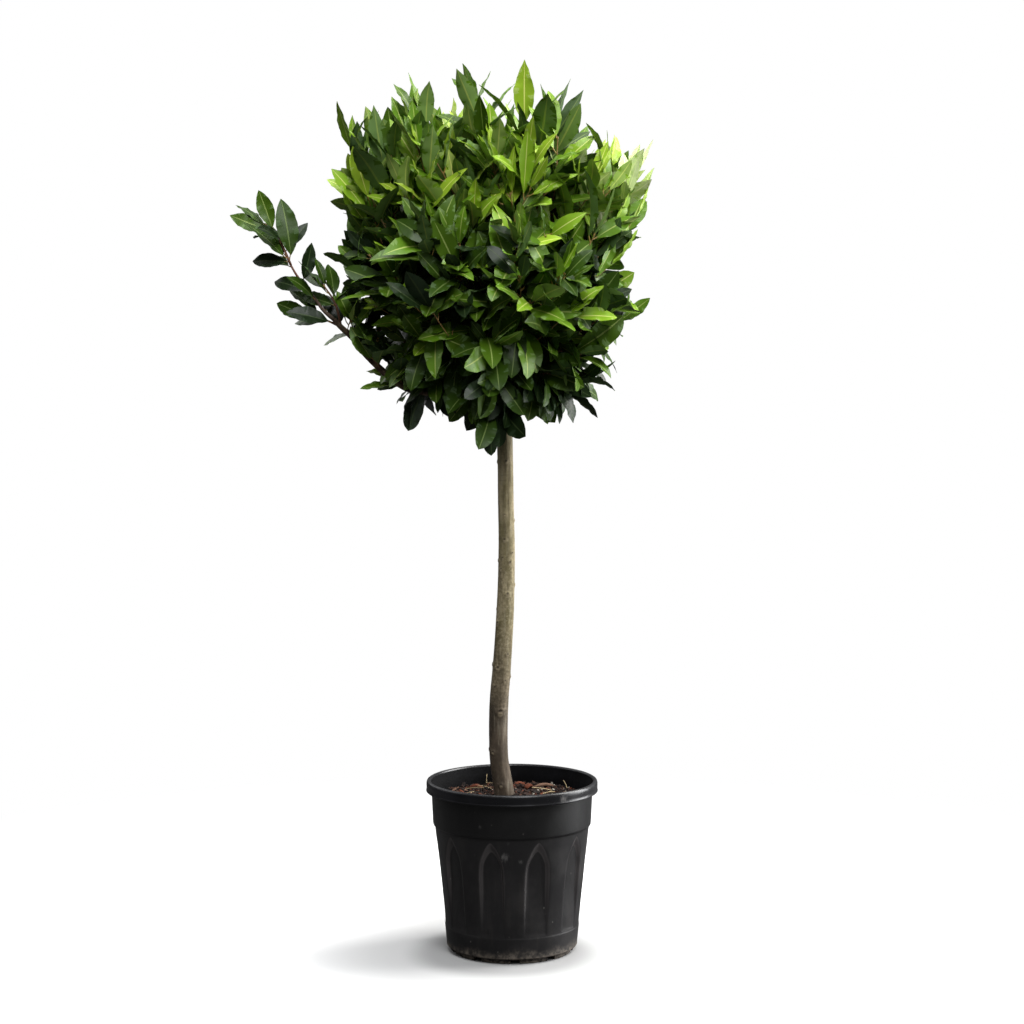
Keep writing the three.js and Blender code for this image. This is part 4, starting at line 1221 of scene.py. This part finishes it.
def leaf_at(store, s, p, axis, radial, open_, k, step_tone, piece, rng, reach_to=None):
    """Adds one leaf that springs at p from a shoot that runs along axis. Returns False where it would leave the crown."""
    h = s.h
    l = axis * math.cos(open_) + radial * math.sin(open_)
    sag = np.interp(h, [0, 0.15, 0.35, 0.6, 1], [0.85, 0.55, 0.28, 0.12, 0.02]) * np.interp(k, [0, 3, 8], [0.35, 1.0, 1.5])
    l = unit(l - UP * sag * rng.uniform(0.6, 1.3))
    L = s.leaf * np.interp(k, [0, 1, 2, 3, 6, 9], [0.74, 0.90, 0.98, 1.0, 1.04, 0.94]) * rng.uniform(0.86, 1.12)
    ratio = np.interp(h, [0, 0.3, 0.7, 1], [0.45, 0.43, 0.38, 0.315]) * rng.uniform(0.86, 1.14)
    stalk = 0.0075 * (0.7 + 0.4 * rng.random()) * (L / 0.07)
    masses = (F_AT, F_HALF) if s.kind == "side" else (np.concatenate([M_AT, F_AT]), np.concatenate([M_HALF, F_HALF])) if s.kind == "limb" else (M_AT, M_HALF)
    if reach_to is not None:
        way = reach_to - p
        L = float(np.linalg.norm(way)) - stalk
        l = unit(way)
        foot = p + l * stalk
    else:
        if k == 0:
            ratio *= 0.86
        edge = rng.uniform(EDGE_LOW, EDGE_HIGH) + s.edge + 0.018 * (1 - smooth(0.10, 0.22, h)) * smooth(-0.20, -0.16, s.place[0])
        edge += swell(s.place) if s.kind in ("outer", "inner") else 0
        for attempt in range(3):
            out = unit(axis * 0.55 + radial * 0.7 + l * 0.5)
            foot = p + out * (stalk + 0.0012)
            end = foot + l * L
            off = end - masses[0]
            share = np.sqrt(((off / masses[1]) ** 2).sum(1))
            over = float((np.linalg.norm(off, axis=1) * (1 - 1 / np.maximum(share, 1e-6))).min()) - edge
            if over <= 0:
                break
            inward = unit((HEART if s.kind != "side" else F_AT.mean(0)) + UP * 0.05 - end)
            l = unit(l + inward * 0.12 + axis * 0.08)
            L *= 0.95
        if over > 0.009 and k > 0:
            return False
    n0 = unit(axis - l * np.dot(axis, l))
    high = smooth(0.60, 0.90, h)
    sky = unit(UP * (0.85 - 0.30 * high) + s.out * 0.75 + np.array([0.30, -0.12, 0]) + outward(s.place)[0] * (0.9 * (1 - smooth(0.06, 0.30, h)) + 0.58 * high))
    seek = np.interp(h, [0, 0.3, 0.6, 1], [0.85, 0.75, 0.5, 0.35])
    if s.kind == "side":
        sky, seek, ratio = unit(np.array([0.35, -0.95, 0.45])), 0.85, ratio * 1.08
    loose = 0.34 if s.kind == "tip" else 0.20
    n = unit(n0 * (1 - seek) + sky * seek + rng.normal(size=3) * loose)
    form = float(np.clip(np.interp(h, [0, 0.3, 0.7, 1], [0.9, 0.6, 0.15, -0.1]) + rng.normal(0, 0.22), -0.3, 1.15))
    put_leaf(store, foot, p + unit(foot - p) * 0.0006, l, n, L, L * ratio, rng, TONES.index(LADDER[step_tone]), piece, form=form,
             curl=rng.normal(np.interp(h, [0, 0.5, 1], [0.55, 0.38, 0.18]), 0.22) * (0.3 if reach_to is not None else 1), stalk=stalk, dark=1 if h < 0.4 else 0)
    return True


def dress(store, s, rng):
    """Leaves of one shoot, from its apex down, a golden turn apart."""
    line = s.line
    seg = np.linalg.norm(np.diff(line, axis=0), axis=1)
    run = np.concatenate([[0], np.cumsum(seg[::-1])])  # distance back from the apex
    back = line[::-1]
    h = s.h
    many = {"tip": 8, "outer": 8, "inner": 6, "side": 13, "limb": 5}[s.kind] + int(rng.integers(-1, 2))
    if h < 0.25:
        many -= 1
    turn = rng.uniform(0, 6.283)
    at = 0.001
    piece = len(PIECES) - 1 if s.kind == "side" else PIECE_OF[BODY[int(np.argmin(norm_in(s.apex[None])[0]))]]
    right = float(np.clip((s.apex[0] + 0.02) / 0.20, -1, 1))
    front = float(-s.out[1])
    tone = s.tone if s.tone is not None else pick_tone(h, s.kind, right, front, rng)
    young = s.kind == "outer" and 0.16 < h < 0.62 and rng.random() < 0.11
    for k in range(many):
        if at > run[-1] * 0.96 or (at > s.length * 1.25 and s.kind != "limb"):
            break
        p = np.array([np.interp(at, run, back[:, c]) for c in range(3)])
        q = np.array([np.interp(max(at - 0.006, 0), run, back[:, c]) for c in range(3)])
        axis = unit(q - p + s.dir * 1e-4)
        helper = np.array([1.0, 0, 0]) if abs(axis[0]) < 0.8 else np.array([0, 1.0, 0])
        e1 = unit(np.cross(axis, helper))
        e2 = np.cross(axis, e1)
        turn += GOLDEN + rng.normal(0, 0.22)
        radial = e1 * math.cos(turn) + e2 * math.sin(turn)
        open_ = np.interp(k, [0, 1, 2, 4, 7, 10], [10, 22, 32, 44, 56, 64])
        open_ *= np.interp(h, [0, 0.25, 0.6, 1], [1.25, 1.25, 1.0, 0.70])
        open_ = math.radians(open_ + rng.normal(0, 8))
        if s.kind == "side" and s.main:
            # three big leaves lead the spray, smaller ones follow down its twig
            open_ = math.radians((14, 22, 24, 52)[min(k, 3)] + rng.normal(0, 5))
            turn = turn if k > 2 else 0.5 + 2.1 * k
            radial = e1 * math.cos(turn) + e2 * math.sin(turn)
        o, roll = tone, rng.random()
        if k <= 1 and h > 0.3 and roll < 0.40 and s.kind != "side":
            o = min(o + 1, 5) if o < 5 else o
        elif k >= 4 and roll < 0.45:
            o = max(o - 1, 0)
        elif roll > 0.86:
            o = max(o - 1, 0) if rng.random() < 0.5 else min(o + 1, 7)
        whole = s.leaf
        if s.kind == "side" and s.main:
            s.leaf = whole * (1.16, 1.08, 1.0, 0.72)[min(k, 3)]
        if young and k < 4:
            s.leaf, o = whole * (0.30, 0.26, 0.42, 0.50)[k], 5 if k < 2 else 4
        leaf_at(store, s, p, axis, radial, open_, k, o, piece, rng, s.place if k == 0 and s.kind == "tip" else None)
        s.leaf = whole
        s.leaf = whole
        step = np.interp(k, [0, 1, 2, 4, 7], [0.004, 0.006, 0.009, 0.013, 0.017]) * np.interp(h, [0, 1], [0.9, 1.12])
        if s.kind == "side":
            step *= 1.25
        at += step * rng.uniform(0.75, 1.3)


def far_left_shoots(tree, rng):
    """The spray beyond the crown on the left: its twig runs on from the long limb through its two masses."""
    low, high = (np.mean([np.array(c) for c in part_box("leaves_" + k)], axis=0) for k in FAR)
    end = np.array(LONG_UP[-1][:3]) * MM
    made = []

    def end_of(path, i):
        return np.array(path[i][:3]) * MM

    rise = unit(high - low)
    beyond = high + np.array([(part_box("leaves_far_left_high")[0][0] - high[0]) * 0.14, 0, 0.016])
    for apex, via, many in ((low * 0.33 + high * 0.67, low, 24), (low + np.array([0.018, -0.006, 0.016]), None, 8), (low + np.array([-0.006, 0.008, -0.030]), None, 8), (end_of(LONG_UP, 1) + np.array([-0.004, -0.020, 0.046]), None, 8), (beyond, None, 8)):
        s = Shoot(apex, "side", rng)
        first = end if via is not None else made[0][1].line[-4] if apex is beyond else min((end_of(LONG_UP, i) for i in (1, 2, 3)), key=lambda k: np.linalg.norm(k - apex) + 0.3 * max(0, k[2] + 0.02 - apex[2]))
        if via is not None:
            knots = [first, first * 0.5 + via * 0.5 - UP * 0.004, via - rise * 0.004, via * 0.45 + apex * 0.55 + np.array([-0.004, 0, 0]), apex]
        else:
            knots = [first, first * 0.4 + apex * 0.6 + np.array([0.006, 0, 0]), apex]
        way, _ = spline([(*(k / MM), 1) for k in knots], np.linspace(0, 1, many))
        s.h, s.leaf, s.apex, s.line = 0.55, 0.094 if via is not None else 0.082 if apex is beyond else 0.071, apex, way
        s.dir = unit(way[-1] - way[-2])
        s.main = via is not None or apex is beyond
        s.length = float(np.linalg.norm(np.diff(way, axis=0), axis=1).sum())
        s.out = unit(np.array([-0.5, -0.6, 0.4]))
        s.tone = 1
        s.many = many
        last = tree.node(way[0], way[1] - way[0], -1, 0.0042)
        ids = [last]
        for i in range(1, len(way)):
            last = tree.node(way[i], way[i] - way[i - 1], last)
            ids.append(last)
        share = np.linspace(0, 1, len(ids))
        for i, t in zip(ids, share):
            tree.r[i] = 0.0034 - 0.0021 * t if via is not None else 0.0022 - 0.0010 * t
        made.append((ids, s))
    return made


def limb_shoots(rng):
    """Short shoots up the outer part of the long limb, a golden turn apart."""
    whole = LONG[:-1] + LONG_UP
    pts, _ = spline(whole, even_shares(whole, 60))
    run = np.concatenate([[0], np.cumsum(np.linalg.norm(np.diff(pts, axis=0), axis=1))])
    made, turn, at = [], 0.4, run[-1] * 0.40
    while at < run[-1] - 0.012:
        i = int(np.searchsorted(run, at))
        d = unit(pts[min(i + 1, 59)] - pts[i - 1])
        side = unit(np.cross(d, UP))
        up = np.cross(side, d)
        way = unit(d * 0.55 + up * (0.55 + 0.45 * math.cos(turn)) + side * 0.75 * math.sin(turn))
        place = pts[i] + way * rng.uniform(0.055, 0.095)
        s = Shoot(place, "limb", rng)
        s.dir, s.h, s.leaf = way, 0.42, 0.070 * rng.uniform(0.85, 1.1)
        s.apex = pts[i] + way * rng.uniform(0.022, 0.050)
        s.base = pts[i] + way * 0.006
        s.base_dir, s.length = way, float(np.linalg.norm(s.apex - s.base))
        s.out = unit(np.array([-0.45, -0.7, 0.3]))
        s.tone = int(rng.choice([1, 2, 2, 3]))
        made.append(s)
        turn += GOLDEN
        at += 0.021
    return made


def make_crown():
    rng = np.random.default_rng(4107)
    tips, outer, inner = shoot_places(rng)
    shoots = [Shoot(p, "tip", rng) for p in tips] + [Shoot(p, "outer", rng) for p in outer] + [Shoot(p, "inner", rng) for p in inner] + limb_shoots(rng)
    tree = grow(shoots, rng)
    side = far_left_shoots(tree, rng)
    store = Leaves()
    for ids, s in tree.chains + side:
        dress(store, s, rng)
    # one leaf of the spray reaches each point of its masses
    way = np.concatenate([s.line for _, s in side])
    reached = []
    for tip in solid_tips(FAR):
        d = np.linalg.norm(way - tip, axis=1)
        i = int(np.argmin(d + 0.25 * np.maximum(0, way[:, 2] - tip[2] + 0.03)))
        if not 0.040 < d[i] < 0.092 or any(np.linalg.norm(tip - o) < 0.030 for o in reached):
            continue
        reached.append(tip)
        i = max(i - 2, 1)
        axis = unit(way[i] - way[i - 1])
        tone = int(rng.choice([1, 1, 2, 2, 2]))
        leaf_at(store, side[0][1], way[i], axis, unit(tip - way[i]), 0.8, 3, tone, len(PIECES) - 1, rng, tip)
    t = store.table()
    print("shoots", len(tips), len(outer), len(inner), "leaves", len(t["L"]))
    for i, (name, nodes) in enumerate(PIECES):
        pick = t["piece"] == i
        ob = mesh_leaves(name, {k: v[pick] for k, v in t.items()}, LEAF_ROWS, *nodes)
        print(name, int(pick.sum()), "leaves", len(ob.data.polygons) * 2, "tris")

    wood = Soup()
    for ids, s in tree.chains + side:
        pts = np.array([tree.p[i] for i in ids])
        rad = np.array([tree.r[i] for i in ids])
        rad[0] = rad[1]
        # a small pointed bud at the apex
        tip = pts[-1]
        d = unit(pts[-1] - pts[-2])
        pts = np.concatenate([pts, [tip + d * 0.0012, tip + d * 0.0030, tip + d * 0.0046]])
        rad = np.concatenate([rad, [0.00125, 0.0012, 0.0005]])
        co, q, tr = tube(pts, rad, 6, tip=True)
        seg = np.repeat(rad[:-1], 6)
        young = 1 if s.h > 0.35 else 0
        mat = np.where(seg > 0.0021, 0, np.where(seg > 0.0013, 1, 1 + young))
        wood.add(co, q, tr, mat)
    mats = [principled("twig_old", lin(78, 62, 48), 0.75)[0], principled("twig_red", lin(104, 66, 46), 0.6)[0], principled("twig_green", lin(122, 96, 52), 0.55)[0]]
    ob = wood.build("twigs", mats)
    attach(ob, "root")
    print("twigs", sum(len(p.vertices) - 2 for p in ob.data.polygons), "tris")


make_crown()


# ---------------------------------------------------------------- compost
def make_soil():
    rng = np.random.default_rng(771)
    lo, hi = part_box("potting_mix")
    level = 0.2500
    stem = np.array([STEM[0][0], STEM[0][1]]) * MM
    broad, lumps, grit = wave_field(31, 14, 60.0, 2), wave_field(32, 26, 240.0, 2), wave_field(33, 34, 720.0, 2)

    def height(xy):
        r = np.linalg.norm(xy - stem, axis=-1)
        edge = np.linalg.norm(xy, axis=-1)
        z = level + 0.0018 * broad(xy) + 0.0012 * lumps(xy) + 0.0005 * grit(xy)
        z = z + 0.0030 * np.exp(-(((r - 0.012) / 0.020) ** 2)) - 0.0016 * smooth(0.112, 0.127, edge)
        return np.minimum(z, hi[2] + 0.002)

    rings, sides = 74, 260
    th = np.arange(sides) * 2 * math.pi / sides
    ring = np.stack([np.cos(th), np.sin(th)], -1)
    rows = []
    for k in range(1, rings + 1):
        xy = ring * (0.1268 * (k / rings) ** 0.9)
        rows.append(np.concatenate([xy, height(xy)[:, None]], 1))
    # down inside the pot wall to its floor
    for r, z in ((127.0, 244), (126.2, 232), (125.3, 213), (121.4, 203), (wall_r(190) - 6.9, 190), (wall_r(150) - 6.9, 150), (wall_r(90) - 6.9, 90), (wall_r(40) - 6.9, 40), (wall_r(23) - 6.9, 23), (99.3, 16), (93, 11.2), (40, 11.2)):
        rows.append(np.concatenate([ring * r * MM, np.full((sides, 1), z * MM)], 1))
    n = len(rows)
    co = np.concatenate(rows + [[[0, 0, float(height(np.zeros((1, 2)))[0])], [0, 0, 0.0112]]])
    i, j = np.meshgrid(np.arange(n - 1), np.arange(sides), indexing="ij")
    q = np.stack([(i + 1) * sides + j, (i + 1) * sides + (j + 1) % sides, i * sides + (j + 1) % sides, i * sides + j], -1).reshape(-1, 4)
    k = np.arange(sides)
    t = np.concatenate([np.stack([np.full(sides, n * sides), k, (k + 1) % sides], -1), np.stack([np.full(sides, n * sides + 1), (n - 1) * sides + (k + 1) % sides, (n - 1) * sides + k], -1)])
    m, tree, p = principled("compost", lin(40, 30, 25), 0.95, Specular_IOR_Level=0.15)
    net = Net(tree)
    here = net.object()
    a, b = net.noise(here, 160, 4, 0.7), net.noise(here, 620, 3, 0.65)
    base = net.mix(net.span(a, 0.38, 0.62), lin(14, 10, 9), lin(42, 30, 24))
    base = net.mix(net.math("MULTIPLY", net.span(b, 0.58, 0.72), 0.5), base, lin(76, 52, 38))
    net.put(p.inputs["Base Color"], base)
    net.put(p.inputs["Normal"], net.bump(net.math("ADD", a, b), 0.9, 0.0016))
    bed = mesh_of("compost_bed", co, q, t, [m])
    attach(bed, "root")
    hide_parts("potting_mix")

    tones = [lin(24, 17, 15), lin(40, 27, 22), lin(62, 40, 30), lin(88, 46, 30), lin(98, 74, 60), lin(138, 132, 122)]
    share = [0.42, 0.28, 0.16, 0.08, 0.04, 0.02]
    chips = Soup()
    corner = np.array([(x, y, z) for z in (-1, 1) for x, y in ((-1, -0.7), (0.2, -1), (1, -0.5), (0.9, 0.6), (-0.1, 1), (-1, 0.6))], float)
    side = [(k, (k + 1) % 6, (k + 1) % 6 + 6, k + 6) for k in range(6)]
    caps = [(0, 5, 4), (0, 4, 3), (0, 3, 2), (0, 2, 1), (6, 7, 8), (6, 8, 9), (6, 9, 10), (6, 10, 11)]
    for _ in range(3000):
        r, a = 0.1235 * math.sqrt(rng.random()), rng.uniform(0, 6.283)
        xy = np.array([r * math.cos(a), r * math.sin(a)])
        L = min(rng.gamma(2.2, 0.0009) + 0.0009, 0.0065)
        if np.linalg.norm(xy - stem) < 0.0185 + L or np.linalg.norm(xy) + L > 0.1262:
            continue
        size = np.array([L, L * rng.uniform(0.35, 0.75), L * rng.uniform(0.12, 0.34) + 0.0003])
        tone = int(rng.choice(6, p=share))
        if tone == 5:
            size = np.full(3, min(L, 0.0022)) * rng.uniform(0.7, 1.1, 3)
        v = corner * size * (1 + rng.normal(0, 0.14, (12, 3)))
        yaw, pitch, roll = rng.uniform(0, 6.283), rng.normal(0, 0.32), rng.normal(0, 0.28)
        cy, sy, cp, sp, cr, sr = math.cos(yaw), math.sin(yaw), math.cos(pitch), math.sin(pitch), math.cos(roll), math.sin(roll)
        turn = np.array([[cy, -sy, 0], [sy, cy, 0], [0, 0, 1]]) @ np.array([[cp, 0, sp], [0, 1, 0], [-sp, 0, cp]]) @ np.array([[1, 0, 0], [0, cr, -sr], [0, sr, cr]])
        v = v @ turn.T
        v = v + [xy[0], xy[1], float(height(xy[None])[0]) + size[2] * rng.uniform(0.1, 1.1)]
        chips.add(v, side, caps, mat=tone)
    # a few larger curved pieces of bark
    for x, y, L, yaw, tone in ((0.054, 0.078, 0.0165, 0.25, 4), (-0.060, 0.070, 0.011, -0.2, 3), (0.012, 0.092, 0.010, 0.4, 3), (0.028, 0.072, 0.008, 0.9, 3), (-0.05, -0.06, 0.014, 1.2, 2), (0.07, -0.04, 0.012, 2.1, 4), (-0.09, 0.01, 0.010, 0.7, 2)):
        u = np.linspace(-1, 1, 11)
        w = 0.0052 * (1 - 0.5 * u**4) * (1 + 0.10 * np.sin(7 * u + x * 90))
        sheet = []
        for lift in (-1, 1):
            for vside in (-1, -0.35, 0.35, 1):
                xx, yy = u * L, vside * w
                zz = 0.0042 * (1 - u**2) - 0.0016 * vside**2 + lift * 0.0010 + 0.0016
                sheet.append(np.stack([x + xx * math.cos(yaw) - yy * math.sin(yaw), y + xx * math.sin(yaw) + yy * math.cos(yaw), level + zz + 0.0015], -1))
        v = np.concatenate(sheet)
        f = []
        for k in range(3):
            for i in range(10):
                f.append((44 + k * 11 + i, 44 + k * 11 + i + 1, 44 + (k + 1) * 11 + i + 1, 44 + (k + 1) * 11 + i))
                f.append(((k + 1) * 11 + i, (k + 1) * 11 + i + 1, k * 11 + i + 1, k * 11 + i))
            f.append((k * 11, 44 + k * 11, 44 + (k + 1) * 11, (k + 1) * 11)[::-1])
            f.append((k * 11 + 10, 44 + k * 11 + 10, 44 + (k + 1) * 11 + 10, (k + 1) * 11 + 10))
        for i in range(10):
            f.append((i, i + 1, 44 + i + 1, 44 + i))
            f.append((33 + i, 33 + i + 1, 77 + i + 1, 77 + i)[::-1])
        chips.add(v, f, mat=tone)
    # pale straws, some leaning on the wall
    for k in range(16):
        a, r, L = rng.uniform(0, 6.283), 0.105 * math.sqrt(rng.random()), rng.uniform(0.009, 0.022)
        yaw, lift = rng.uniform(0, 6.283), abs(rng.normal(0, 0.16))
        at = np.array([r * math.cos(a), r * math.sin(a)])
        if k < 2:
            at, yaw, lift, L = ((np.array([-0.043, 0.112]), 1.45, 1.05, 0.008), (np.array([0.089, 0.072]), 1.9, 0.5, 0.010))[k]
        if np.linalg.norm(at - stem) < 0.03:
            continue
        d = np.array([math.cos(yaw) * math.cos(lift), math.sin(yaw) * math.cos(lift), math.sin(lift)])
        c = np.array([at[0], at[1], level + 0.0028 + abs(d[2]) * L * 0.9])
        line = c + d * np.linspace(-L, L, 7)[:, None] + np.array([0, 0, 1]) * 0.0012 * np.sin(np.linspace(0, 3.1, 7))[:, None]
        co, q, t = tube(line, np.full(7, rng.uniform(0.0005, 0.0009)), 6)
        chips.add(co, q, t, mat=6)
    tones.append(lin(150, 134, 104))
    mats = [principled(f"chip_{i}", c, 0.9, Specular_IOR_Level=0.2)[0] for i, c in enumerate(tones)]
    ob = chips.build("compost_chips", mats, flat=True)
    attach(ob, "root")


make_soil()
